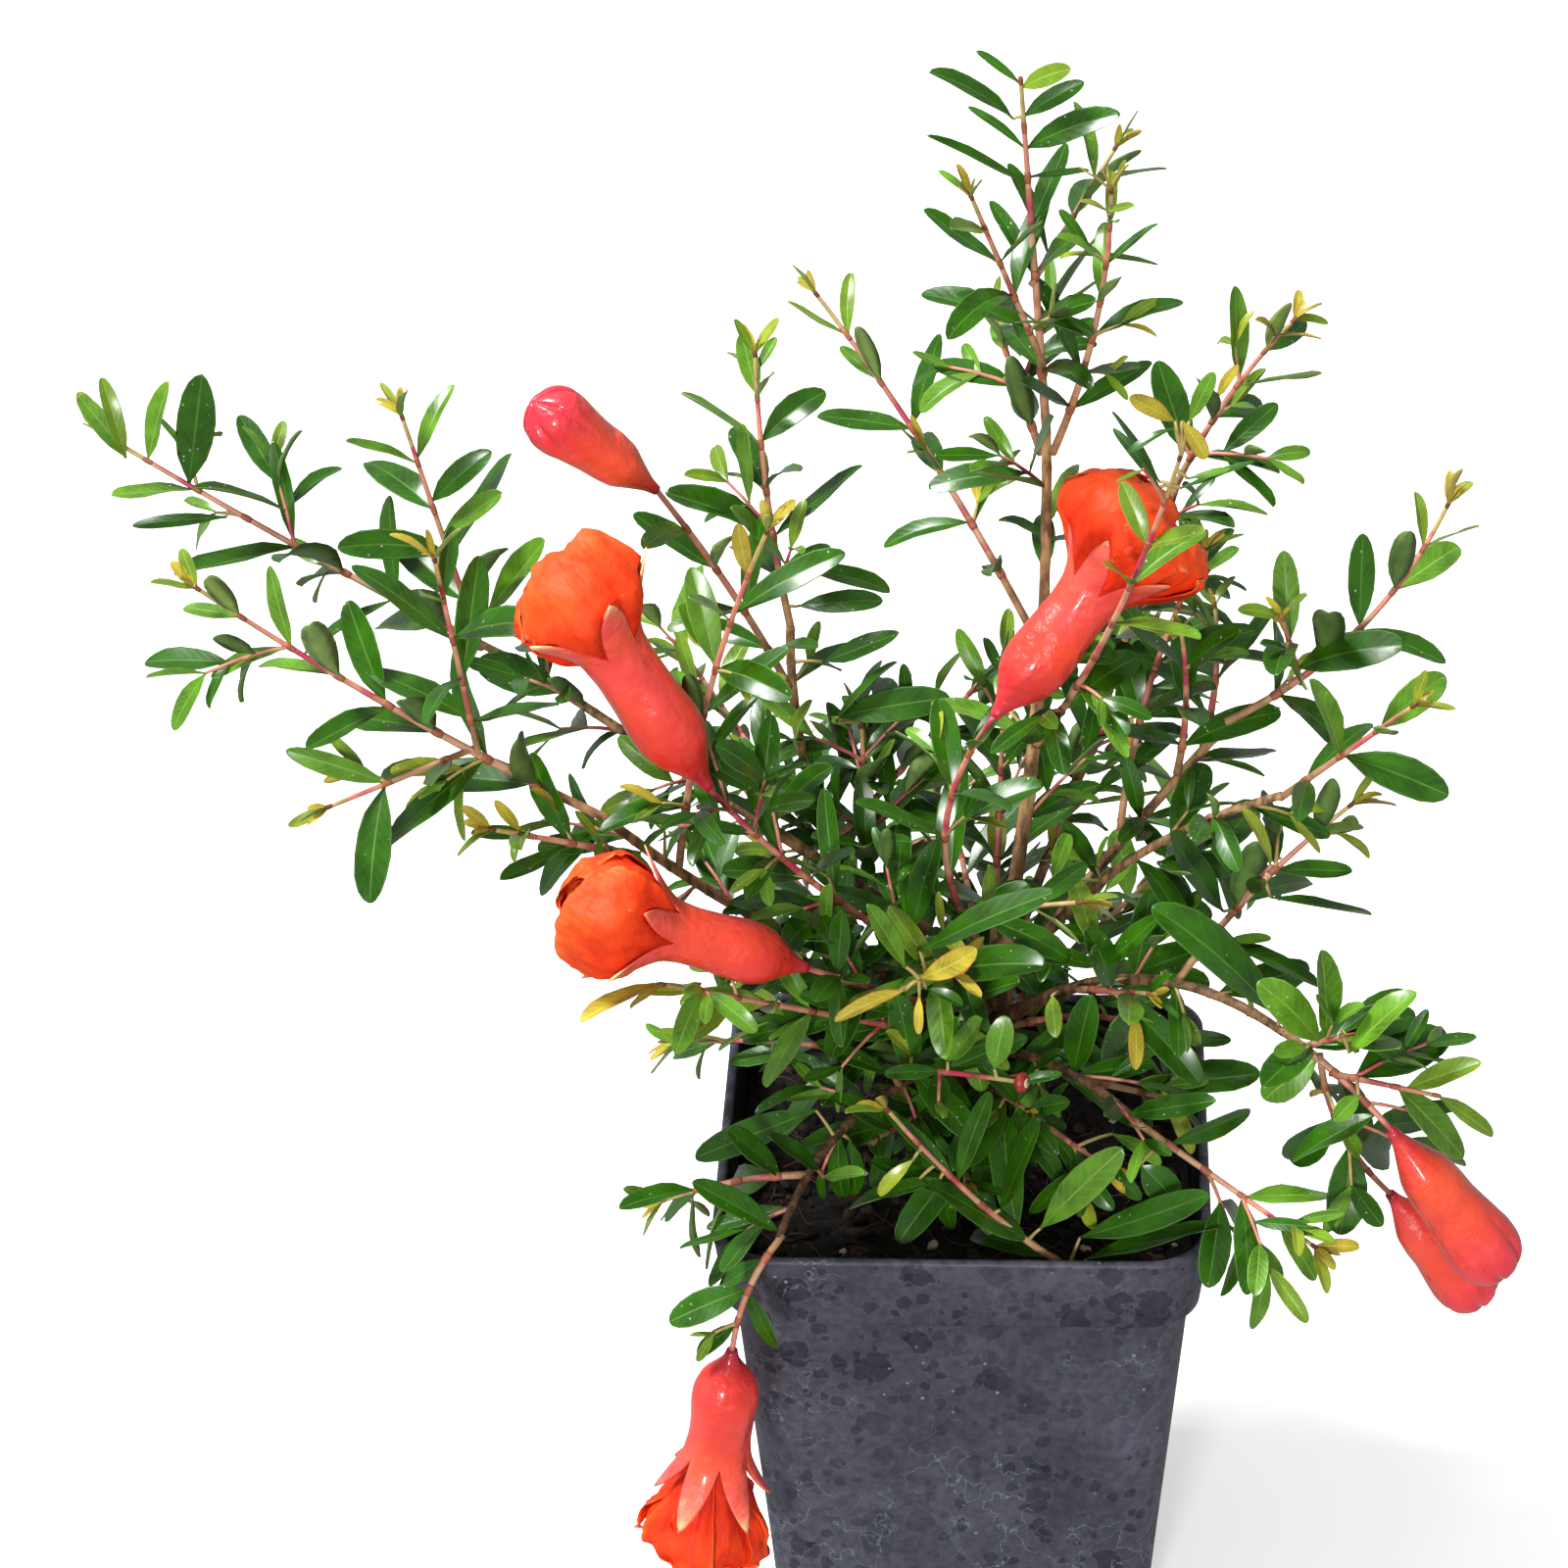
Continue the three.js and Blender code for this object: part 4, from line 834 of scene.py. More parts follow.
for name, limb in limbs.items():
    line = along(limb["curve"], np.linspace(0, 1, 7))[0]
    block(line[:-1], line[1:], float(limb["radiusAt"](0.5)), boughLeaf)
for shoot in shoots:
    line = along(shoot["curve"], np.linspace(0, 1, 5))[0]
    block(line[:-1], line[1:], twig["foot"], shoot["index"])
    tip = shoot["curve"][2]
    if "bud" in shoot["ends"]:
        block([tip], [np.array(shoot["ends"]["bud"], float)], keepClear["bud"], blossomPart)
    if "flower" in shoot["ends"]:
        end = np.array(shoot["ends"]["flower"], float)
        spans = [(keepClear["calyxFrom"], keepClear["calyxTo"], 0, keepClear["calyx"])]
        spans.append((keepClear["petalsAt"], keepClear["petalsAt"] + 0.05, 0, keepClear["petals"]))
        # Nothing of the rule's hides a flower from the front.
        for ahead in (5, 10, 15):
            spans.append((keepClear["viewFrom"], keepClear["viewTo"], ahead, keepClear["view"]))
        for low, high, ahead, radius in spans:
            shift = ahead * viewSide
            block([mix(tip, end, low) + shift], [mix(tip, end, high) + shift], radius, blossomPart)
leafTable = {key: np.array(value) for key, value in leaves.items()}
tips = leafTable["foot"] + leafTable["direction"] * leafTable["size"][:, None]
isNotable = leafTable["owner"] == notableLeaf
for ahead in (0, 5, 10):  # nothing grows over a notable leaf or close in front of it
    shift = ahead * viewSide
    block(leafTable["foot"][isNotable] + shift, tips[isNotable] + shift, keepClear["notable"], notableLeaf)
blockStarts, blockEnds = np.array(blockStarts), np.array(blockEnds)
blockRadii, blockOwners = np.array(blockRadii), np.array(blockOwners)
samples = mix(leafTable["foot"][:, None], tips[:, None], np.array((0.3, 0.55, 0.8, 1.0))[:, None])
inReach = clearOfPot(samples).all(1)
kept = inReach.copy()
for k in range(samples.shape[1]):
    apart = segmentDistances(samples[:, k], blockStarts, blockEnds) - blockRadii
    apart[leafTable["owner"][:, None] == blockOwners] = 9
    if k < 2:
        apart[:, blockOwners == boughLeaf] = 9  # a leaf may start close to a bough
    kept &= (apart > keepClear["apart"]).all(1)
kept |= inReach & isNotable
overRim = (np.abs(samples[..., 0]) < keepClear["rimHalf"]) & (samples[..., 1] < keepClear["rimFront"])
overRim &= samples[..., 2] < keepClear["rimTop"]
kept &= isNotable | ~overRim.any(1)  # the front rim stays in sight
low, high = np.array(cadBox[0]) / mm, np.array(cadBox[1]) / mm
kept &= ((tips > low - keepClear["pastBox"]) & (tips < high + keepClear["pastBox"])).all(1)
leafTable = {key: value[kept] for key, value in leafTable.items()}


def carriesLeaf(line):
    # Whether a leaf that is left starts on a twig's line.
    near = 0.8
    return np.linalg.norm(leafTable["foot"][:, None] - line[2:], axis=-1).min() < near


# A finest twig that has lost all its leaves goes too.
twigParts = [part for part in twigParts if part[1] not in ("pink", "green") or carriesLeaf(part[2])]
print("leaves", len(kept), "kept", int(kept.sum()), "twigs", len(twigParts))


# How broad each mass's leaves are; the last three stand for what belongs to no mass.
broadness = np.array([row.get("broad", 1.0) for row in masses.values()] + [1.0] * 3)


def leafShapes(table, rng):
    # A leaf is a grid: its midrib bends down along a circle, its halves rise from the midrib by the fold
    # and curve over at the margins, the whole turns a little about the midrib, and an underside follows
    # close below. All leaves are worked out at once.
    count = len(table["size"])
    rows, widths = np.array(blade["outline"]).T
    columns = np.array(blade["columns"])
    size = table["size"][:, None]
    direction, normal = unit(table["direction"]), table["normal"]
    aside = np.cross(normal, direction)
    curl = (blade["curl"] * rng.normal(0.75, 0.6, count))[:, None]
    curl = np.where(np.abs(curl) < blade["straightest"], blade["straightest"], curl)
    twist = (blade["twist"] * rng.normal(0, 0.6, count))[:, None] * rows
    roll = rng.normal(0, blade["roll"], count)[:, None]
    width = blade["width"] + blade["widthJitter"] * rng.normal(0, 1, count)
    width = width.clip(blade["narrowest"], blade["broadest"]) * broadness[table["owner"]]
    width = np.where(table["width"] > 0, table["width"], width)[:, None] * size / 2
    bend = curl * rows
    ahead = size * np.sin(bend) / curl
    drop = size * (1 - np.cos(bend)) / curl
    midrib = table["foot"][:, None] + ahead[..., None] * direction[:, None]
    midrib = midrib - drop[..., None] * normal[:, None]
    up = np.sin(bend)[..., None] * direction[:, None] + np.cos(bend)[..., None] * normal[:, None]
    turn = (twist + roll)[..., None]
    across = np.cos(turn) * aside[:, None] + np.sin(turn) * up
    rise = -np.sin(turn) * aside[:, None] + np.cos(turn) * up
    half = np.maximum(width * widths, blade["petiole"] * np.where(rows < 0.5, 1, 0.3))
    fold = np.radians(blade["fold"] * rng.uniform(0.3, 1.5, count))[:, None, None]
    phase = rng.uniform(0, 6, count)[:, None]
    ripple = blade["ripple"] * np.sin(rows * 2 * math.pi * blade["ripples"] + phase)[..., None]
    lift = np.abs(columns) * np.sin(fold) - 0.3 * columns**2 * np.sin(fold) + ripple * np.abs(columns)
    upper = midrib[:, :, None] + (half[..., None] * columns * np.cos(fold))[..., None] * across[:, :, None]
    upper = upper + (half[..., None] * lift)[..., None] * rise[:, :, None]
    return np.concatenate([upper.reshape(count, -1, 3), midrib - blade["thickness"] * rise], 1)


def leafTemplate():
    # One leaf's faces, their kinds (blade, midrib, margin, underside) and its map for the side veins,
    # which leave the midrib towards the tip.
    share, column = np.array(blade["outline"])[:, :1], np.abs(np.array(blade["columns"]))
    rows, columns = len(share), len(column)
    top = gridFaces(rows, columns, False)[:, ::-1]
    spine = rows * columns + np.arange(rows)
    left = np.arange(rows) * columns
    right = left + columns - 1
    lowLeft = np.stack([left[1:], left[:-1], spine[:-1], spine[1:]], -1)
    lowRight = np.stack([right[:-1], right[1:], spine[1:], spine[:-1]], -1)
    caps = []
    for row, order in ((0, 1), (rows - 1, -1)):
        edge, under = row * columns + np.arange(columns), spine[row]
        for corners in ((*edge[:3], under), (*edge[2:4], under), (*edge[3:], under)):
            caps.append(list(corners[::order]) + [-1] * (4 - len(corners)))
    kinds = [np.tile(blade["stripKinds"], rows - 1), np.full(2 * (rows - 1), 3), np.full(len(caps), 2)]
    veins = np.stack([share - blade["veinLean"] * column, column + 0 * share], -1).reshape(-1, 2)
    places = np.concatenate([veins, np.concatenate([share, 0 * share], -1)])
    return np.concatenate([top, lowLeft, lowRight, np.array(caps)]), np.concatenate(kinds), places


def copies(template, count, size):
    # A template's faces once for each of the count shapes, which have size points each.
    shift = (np.arange(count) * size)[:, None, None]
    return np.where(template >= 0, template + shift, -1).reshape(-1, template.shape[1])


# Tones of leaf, from old to new: blade, midrib, margin and underside of each.
leafTones = {
    "deep": ((38, 82, 5), (66, 110, 20), (58, 104, 14), (86, 116, 54)),
    "green": ((82, 126, 30), (116, 152, 54), (104, 142, 44), (118, 146, 78)),
    "fresh": ((98, 128, 32), (136, 162, 62), (122, 140, 46), (124, 148, 74)),
    "lime": ((128, 144, 40), (162, 176, 72), (150, 128, 52), (142, 154, 76)),
    "gold": ((160, 146, 44), (188, 176, 76), (176, 104, 52), (164, 146, 72)),
}


def specks(material, scale, size, patchScale, patchDetail, patch):
    # Round specks at the points of a cell pattern, in the patches where a coarse noise is high.
    place = objectPlace(material)
    cells = addNode(material, "ShaderNodeTexVoronoi", {"Vector": place, "Scale": scale}).outputs["Distance"]
    where = ramp(material, objectNoise(material, patchScale, patchDetail), patch)
    return mathNode(material, ramp(material, cells, size), where)


def bladeMaterial(name, colour):
    # Waxy green that drifts lighter and darker, with faint side veins, a soft bump and a few white specks.
    gloss = {"Coat Weight": 0.62, "Coat Roughness": 0.23, "Specular IOR Level": 0.1}
    material, shader = newMaterial(name, colour, 0.34, **gloss)
    place = addNode(material, "ShaderNodeUVMap", uv_map="UVMap").outputs["UV"]
    inputs = {"Vector": place, "Scale": blade["veins"] / math.pi, "Distortion": 0.6}
    wave = addNode(material, "ShaderNodeTexWave", inputs, wave_profile="SIN").outputs["Fac"]
    veins = ramp(material, wave, [(0.8, 0.0), (1.0, 0.35)])
    tones = [(0.3, shade(colour, 0.82)), (0.7, shade(colour, 1.2))]
    tones = noiseRamp(material, tones, 240)
    pale = blended(material, veins, tones, linear(*shade(colour, 1.25)))
    spots = specks(material, 640.0, [(0.08, 0.6), (0.13, 0.0)], 60, 2, [(0.5, 0.0), (0.62, 1.0)])
    paint(material, shader, blended(material, spots, pale, linear(214, 222, 206)))
    addBump(material, shader, wave, 0.2, 0.0001)
    return material


leafSkins = []
for tone, (face, rib, margin, under) in leafTones.items():
    leafSkins.append(bladeMaterial(f"{tone}Blade", face))
    leafSkins.append(mottled(f"{tone}Midrib", rib, 0.45, 0.08))
    leafSkins.append(mottled(f"{tone}Margin", margin, 0.45, 0.08))
    leafSkins.append(mottled(f"{tone}Underside", under, 0.6, 0.1, 300, 0.2))

# Leaves pass from one tone to the next at these ages. Of the green ones, some of those inside the crown and
# most of those low down get the deep tone instead: painted shade, where the crown shades them.
toneAges = (0.37, 0.69, 0.83, 0.93)
crown = dict(middle=(0, 0, 115), radii=(20, 90), deep=(0.6, 0.2), lowTop=96, lowHalf=40, lowDeep=0.7)
leafRng = np.random.default_rng(11)
foot, age = leafTable["foot"], leafTable["age"]
out = np.linalg.norm(foot - np.array(crown["middle"]), axis=1)
toneOf = np.digitize(age + leafRng.normal(0, 0.05, len(age)), toneAges)
shaded = leafRng.random(len(age)) < np.interp(out, crown["radii"], crown["deep"])
lowDown = (foot[:, 2] < crown["lowTop"]) & (np.abs(foot[:, :2]).max(1) < crown["lowHalf"])
shaded |= lowDown & (leafRng.random(len(age)) < crown["lowDeep"])
toneOf = np.where(shaded & (toneOf == 1), 0, toneOf)
massNames = list(masses)
leafPoints = leafShapes(leafTable, leafRng)
template, leafKinds, leafPlaces = leafTemplate()
for pieceName, chosen in {"leavesFine": leafTable["fine"], "leavesGrown": ~leafTable["fine"]}.items():
    count = int(chosen.sum())
    which = leafKinds + 4 * toneOf[chosen][:, None]
    faces = copies(template, count, leafPoints.shape[1])
    points, flat = leafPoints[chosen].reshape(-1, 3), np.tile(leafPlaces, (count, 1))
    makePiece(pieceName, points, faces, leafSkins, "foliage", massNames, which.ravel(), None, flat)


def cutEnd():
    # Where the shoot was cut: a swollen red ring round a disc of pale wood.
    curve = limbCurves["cut_shoot"]
    tip, heading = along(curve, 1.0)
    line = tip + np.linspace(-0.9, 0.9, 7)[:, None] * heading
    twigParts.append((tube(line, (0.7, 1.1, 1.45, 1.6, 1.55, 1.4, 1.15), 14), "cutRing", line))
    line = tip + np.array((0.2, 0.8, 1.0))[:, None] * heading
    twigParts.append((tube(line, (0.8, 0.8, 0.7), 14), "cutWood", line))


def flushed(name, colour, flush, roughness):
    # Young bark, pale here and flushed with red there.
    material, shader = newMaterial(name, colour, roughness)
    stops = [(0.36, shade(colour, 0.88)), (0.48, colour), (0.6, flush)]
    tones = ramp(material, objectNoise(material, 130, 2), stops)
    paint(material, shader, tones)
    addBump(material, shader, objectNoise(material, 2000), 0.2, 0.0002)
    return material


def twigPieces():
    # A long shoot is tan at its foot, rosy along its middle and pink to green at its growing tip.
    skins = [
        mottled("twigTan", (160, 120, 84), 0.62, 0.2, 500, 0.3),
        flushed("twigRosy", (204, 154, 120), (176, 88, 82), 0.5),
        flushed("twigPink", (216, 142, 118), (184, 62, 84), 0.45),
        mottled("twigGreen", (172, 150, 92), 0.5, 0.12, 500, 0.15),
        mottled("twigNode", (154, 88, 62), 0.6, 0.18, 700, 0.3),
        mottled("cutRing", (150, 44, 34), 0.4, 0.2, 900, 0.2),
        mottled("cutWood", (226, 196, 160), 0.7, 0.1, 1200, 0.3),
    ]
    flat = {"pink": 2, "green": 3, "cutRing": 5, "cutWood": 6}
    turns = {"shoot": (0.24, 0.58, 0.9), "bloom": (0.24, 0.5)}  # where a shoot's tone goes on to the next
    which = []
    for (_, faces), tone, _ in twigParts:
        if tone in turns:
            sides = twig["sides"]
            body = len(faces) - 2 * sides
            shares = np.repeat(np.linspace(0, 1, body // sides), sides)
            shares = np.concatenate([shares, np.zeros(sides), np.ones(sides)])
            which.append(np.digitize(shares, turns[tone]))
        else:
            which.append(np.full(len(faces), flat[tone]))
    nodeParts = []
    for foot, heading, radius in collars:
        line = foot + np.array((-0.7, -0.35, 0.0, 0.35, 0.7))[:, None] * heading
        nodeParts.append(tube(line, radius * np.array((0.96, 1.1, 1.2, 1.1, 0.96)), 7))
    parts = [part[0] for part in twigParts]
    makePiece("twigs", *joined(parts), skins, "bark", massNames, np.concatenate(which))
    makePiece("twigNodes", *joined(nodeParts), [skins[4]], "bark", massNames)


cutEnd()
twigPieces()


# Flowers and buds. A profile gives the radius at shares of the length.
calyx = dict(
    profile=(
        (0, 0.8), (0.08, 1.15), (0.17, 2.4), (0.28, 4.1), (0.4, 4.85), (0.52, 4.9), (0.7, 4.55),
        (0.86, 4.45), (1.0, 4.8),
    ),
    sepals=6, arch=1.12, rows=36, unlined=10, columns=84, wall=0.8, fullLength=41.0, ribs=0.03, bumps=0.02,
    cupShare=0.41, sepalShare=0.59,
)
petal = dict(
    rows=40, columns=48, below=0.17, throat=3.2, swell=0.55, layer=0.6, thickness=0.14, roundTip=0.13,
)
crumple = dict(
    fold=0.8, foldSize=12.0, wrinkle=0.3, wrinkleSize=4.5, crease=0.35, creaseSize=6.0, rimOut=0.2,
    frill=0.5, frillSize=4.5, bend=0.4, bendSize=9.0,
)
# Each flower: the turn of its calyx in degrees, how far up that is notched, how long its sepals are as a
# share of the whole and how wide they open, the petals' widest height and radius, its end, and the petals
# as the angle that each faces (0 towards the camera), its half width, layer, reach and closing angle.
blooms = {
    "flower_right": dict(
        end=(30.5, 5.5, 188.3),
        spin=15, notch=0.55, sepal=0.21, flare=5.4, waist=0.8, belly=12.2, ragged=0.04,
        petals=(
            (-28, 1.15, 0, 0.99, 1.4), (52, 1.05, 1, 0.98, 0.75), (112, 0.95, 0.4, 0.96, 0.45),
            (-95, 0.95, 1, 0.98, 1.3), (175, 1.1, 1, 0.98, 1.0), (-145, 1.0, 0.4, 0.99, 1.2),
            (10, 0.8, 3.6, 0.93, 1.3), (130, 0.8, 3.6, 0.9, 0.8), (-110, 0.8, 3.6, 0.93, 1.3),
        ),
    ),
    "flower_left": dict(
        end=(-59, -25, 193.5),
        spin=-15, notch=0.6, sepal=0.23, flare=6.2, waist=0.79, belly=9.8, ragged=0.04,
        petals=(
            (14, 1.25, 0, 1.0, 1.6), (-78, 0.95, 0.8, 0.88, 0.8), (88, 0.95, 1, 0.93, 1.4),
            (-138, 1.0, 0.4, 0.93, 1.1), (150, 1.05, 1, 0.94, 1.4), (-30, 0.8, 3.4, 0.88, 1.5),
            (95, 0.8, 3.4, 0.88, 1.5), (-150, 0.8, 3.4, 0.88, 1.5),
        ),
    ),
    "flower_front": dict(
        end=(-58, -36, 142.3),
        spin=-20, notch=0.56, sepal=0.23, flare=6.2, waist=0.8, belly=9.4, ragged=0.035,
        petals=(
            (-22, 1.2, 0, 1.03, 1.4), (66, 1.0, 0.9, 1.0, 1.1), (-88, 0.9, 1, 1.0, 1.1),
            (138, 1.0, 0.4, 0.99, 1.4), (-145, 1.0, 1, 0.98, 1.4), (30, 0.8, 3.4, 0.92, 1.5),
            (-110, 0.8, 3.4, 0.92, 1.5), (140, 0.8, 3.4, 0.92, 1.5),
        ),
    ),
    "flower_hanging": dict(
        spin=-10, notch=0.45, sepal=0.2, flare=4.2, waist=0.86, belly=8.6, ragged=0.2, ruffle=2.0,
        petals=(
            (30, 0.75, 0, 0.87, 0.1), (-34, 0.8, 0.8, 0.95, 0.25), (88, 0.8, 0.8, 0.8, 0.0),
            (-95, 0.75, 0.2, 0.9, 0.05), (140, 0.85, 0.2, 0.9, 0.2), (-155, 0.85, 0.9, 0.9, 0.2),
            (0, 0.85, 2.8, 0.87, 0.3), (120, 0.85, 2.8, 0.85, 0.3), (-120, 0.85, 2.8, 0.86, 0.3),
        ),
    ),
}
budLook = dict(
    profile=(
        (0, 0.8), (0.07, 1.15), (0.17, 2.3), (0.29, 3.8), (0.4, 4.15), (0.5, 4.2), (0.62, 4.7), (0.75, 5.3),
        (0.85, 5.2), (0.92, 4.3), (0.975, 2.3), (1.0, 0.5),
    ),
    rows=56, columns=72, spin=0.3, groove=0.85, grooveWidth=0.12, grooveFrom=0.58, bumps=0.025,
    fullLength=27.0,
)


def frameAlong(foot, end):
    # The unit axis from foot to end, and two units square to it, the first of them towards the camera.
    axis = unit(end - foot)
    first = unit(viewSide - (viewSide @ axis) * axis)
    return axis, first, np.cross(axis, first)


def smooth(profile, shares):
    # A curve through the profile's points, eased so that the slopes join.
    at, radius = np.array(profile, float).T
    fineSteps = np.linspace(0, 1, 400)
    kernel = np.hanning(41)
    padded = np.pad(np.interp(fineSteps, at, radius), 20, mode="reflect", reflect_type="odd")
    return np.interp(shares, fineSteps, np.convolve(padded, kernel / kernel.sum(), mode="valid"))


def sepalsAt(angle, look, seed):
    # For angles about the axis: how far up the sepals reach there, whose outline is a pointed arch, and
    # how far they open.
    rng = np.random.default_rng(seed)
    longer = rng.uniform(0.85, 1.1, calyx["sepals"])
    opened = rng.uniform(0.8, 1.25, calyx["sepals"])
    sector = ((angle - math.radians(look["spin"])) / (2 * math.pi) % 1) * calyx["sepals"]
    which = np.minimum(sector.astype(int), calyx["sepals"] - 1)
    lobe = 1 - np.abs(2 * (sector - which) - 1)
    return look["notch"] + look["sepal"] * longer[which] * (1 - (1 - lobe) ** calyx["arch"]), opened[which]


def cupAndSepal(share, look):
    # How far up the cup a place is, as far as the notches, and how far up the sepals from there.
    return np.minimum(share / look["notch"], 1), np.maximum(share - look["notch"], 0) / look["sepal"]


def calyxRadius(share, opened, look):
    # The outer radius: the cup's profile up to the notches, and then the sepals' flare.
    cup, past = cupAndSepal(share, look)
    profile = smooth(calyx["profile"], cup.ravel()).reshape(cup.shape)
    return profile + look["flare"] * opened * past**1.3 + 0.5 * past


def turned(angle, first, second):
    # Unit vectors at angles from the first of two axes towards the second.
    return np.cos(angle)[..., None] * first + np.sin(angle)[..., None] * second


def roundPlace(angle, radius, height):
    # Where noise is read on a round body: on a cylinder of one radius.
    return np.stack([np.cos(angle) * radius + 0 * height, np.sin(angle) * radius + 0 * height, height], -1)


def calyxCup(foot, end, look, seed):
    # A fleshy cup. Each meridian runs out as far as its sepal reaches. The rows come back the same way a
    # wall's width inside. Low ribs run down from the sepals.
    axis, first, second = frameAlong(foot, end)
    length = np.linalg.norm(end - foot)
    scale = length / calyx["fullLength"]
    rows, columns = calyx["rows"], calyx["columns"]
    angle = fullTurn(columns) + math.radians(look["spin"])
    reach, opened = sepalsAt(angle + 1e-9, look, seed)
    out = np.linspace(0, 1, rows)[:, None] * reach
    cup, past = cupAndSepal(out, look)
    ribs = np.cos(calyx["sepals"] * (angle - angle[0]) + math.pi) * cup**2
    bumps = waves(roundPlace(angle, 6, out * length), seed, 9)
    radius = calyxRadius(out, opened, look)
    radius = radius * (1 + calyx["ribs"] * ribs) * (1 + calyx["bumps"] * bumps) * scale
    wall = calyx["wall"] * scale * (1 - 0.55 * past) * np.minimum(1, radius / 2.4)
    middle = foot + (out * length)[..., None] * axis
    around = turned(angle, first, second)
    lined = rows - calyx["unlined"]
    inner = (middle + (radius - wall)[..., None] * around)[::-1][:lined]
    points = np.concatenate([middle + radius[..., None] * around, inner]).reshape(-1, 3)
    points, faces = capped(points, rows + lined, columns, foot, inner[-1].mean(0))
    tint = calyx["cupShare"] * cup + calyx["sepalShare"] * past
    lining = (tint + 0.1 * past)[::-1][:lined]
    return points, faces, np.concatenate([tint.ravel(), lining.ravel(), [0.0], [0.2]])


def budBody(foot, end, seed):
    # A closed bud: a pear with a waist below its folded sepals, whose seams are shallow grooves.
    axis, first, second = frameAlong(foot, end)
    length = np.linalg.norm(end - foot)
    share = np.linspace(0, 1, budLook["rows"]) ** 0.9
    turn = fullTurn(budLook["columns"])
    angle = turn + budLook["spin"]
    radius = smooth(budLook["profile"], share)[:, None] * (length / budLook["fullLength"]) ** 0.5
    sector = 2 * math.pi / calyx["sepals"]
    off = (angle - budLook["spin"] + sector / 2) % sector - sector / 2
    seams = np.exp(-((off / budLook["grooveWidth"]) ** 2))
    deep = np.clip((share[:, None] - budLook["grooveFrom"]) / 0.3, 0, 1) * np.minimum(1, radius / 2)
    radius = radius - budLook["groove"] * seams * deep
    place = roundPlace(angle, 5, share[:, None] * budLook["fullLength"] + 0 * radius)
    radius = radius * (1 + budLook["bumps"] * waves(place, seed, 11))
    points = foot + (share * length)[:, None, None] * axis + radius[..., None] * turned(angle, first, second)
    points, faces = capped(points.reshape(-1, 3), budLook["rows"], budLook["columns"], foot, end)
    return points, faces, np.concatenate([np.repeat(share, budLook["columns"]), [0.0], [1.0]])


def petalMidline(s, t, row, look, edge, lengthened):
    # A petal before its crumples. Its middle line rises from the throat, swells to the belly and runs over
    # the flower's top on an ellipse, as far as its closing angle. Gives its radius about the line, its
    # angles across it and over the top, and its height.
    _, wide, layer, reach, close = row
    up = s * (1 - petal["roundTip"] * np.abs(t) ** 2.8 - look["ragged"] * s**3 * (1 + edge))
    swell = np.clip(up / petal["swell"], 0, 1)
    over = np.clip((up - petal["swell"]) / (1 - petal["swell"]), 0, 1) * close
    around = petal["throat"] - 0.25 * layer
    around = around + (look["belly"] - petal["layer"] * layer - around) * np.sin(math.pi / 2 * swell) ** 3.2
    angle = wide * t * mix(0.6, 1, np.sin(math.pi / 2 * np.clip(up / 0.6, 0, 1)))
    rise = mix(look["notch"] - petal["below"], look["waist"], swell)
    rise = rise + (reach - look["waist"]) * np.sin(over)
    return around, angle, over, rise * lengthened


def insideSepals(radial, height, sideways, centre, layer, look, seed, lengthened):
    # How much a petal must shrink to stay inside the sepals wherever they reach.
    spun = centre + np.arctan2(sideways, radial)
    sepalReach, opened = sepalsAt(spun, look, seed)
    share = height / lengthened
    inside = calyxRadius(share, opened, look) - calyx["wall"] * 1.15 - 0.12 * layer
    under = np.clip((sepalReach + 0.05 - share) / 0.07, 0, 1)
    return mix(1, np.minimum(1, inside / np.maximum(np.hypot(radial, sideways), 0.1)), under)


def petalRelief(s, t, over, place, own, seed, k):
    # Crumples are smooth noise read at the flower's own surface, so that petals that lie on one another
    # share them; noise of its own bends each petal and frills its rim. Gives the rim too.
    folds = crumple["fold"] * waves(place, seed, crumple["foldSize"], 2)
    wrinkles = crumple["wrinkle"] * waves(place, seed + 1, crumple["wrinkleSize"], 2)
    creases = np.abs(waves(place, seed + 3, crumple["creaseSize"], 2)) - crumple["crease"]
    relief = folds + wrinkles + crumple["crease"] * creases
    rim = np.clip((np.abs(t) - 0.8) / 0.2, 0, 1) ** 2
    rim = rim + np.clip((s - 0.86) / 0.14, 0, 1) ** 2 * np.clip(1.25 - over, 0, 1)
    frill = crumple["frill"] * waves(own, seed + 70 + k, crumple["frillSize"], 2)
    relief = relief + rim * (crumple["rimOut"] + frill)
    return relief + crumple["bend"] * waves(own, seed + 90 + k, crumple["bendSize"], 2), rim


def petalTint(s, across, place, relief, rim, seed, k):
    # Paler to the tip and the rim; painted shade makes it darker in hollows and along fine crease lines.
    fan = np.stack([s * 12, across * (0.4 + 0.6 * s), np.full_like(s, 5.0 * k)], -1)
    lines = 0.7 * np.exp(-((waves(fan, seed + 5, 4.0, 2) / 0.12) ** 2))
    lines = lines + 0.8 * np.exp(-((waves(place, seed + 6, 4.6, 2) / 0.09) ** 2))
    hollowShade = np.clip(0.5 - relief * 0.4, 0, 1) + 0.5 * lines
    return (0.95 * s + 0.25 * rim - 0.34 * hollowShade * np.clip(s / 0.4, 0, 1)).ravel()


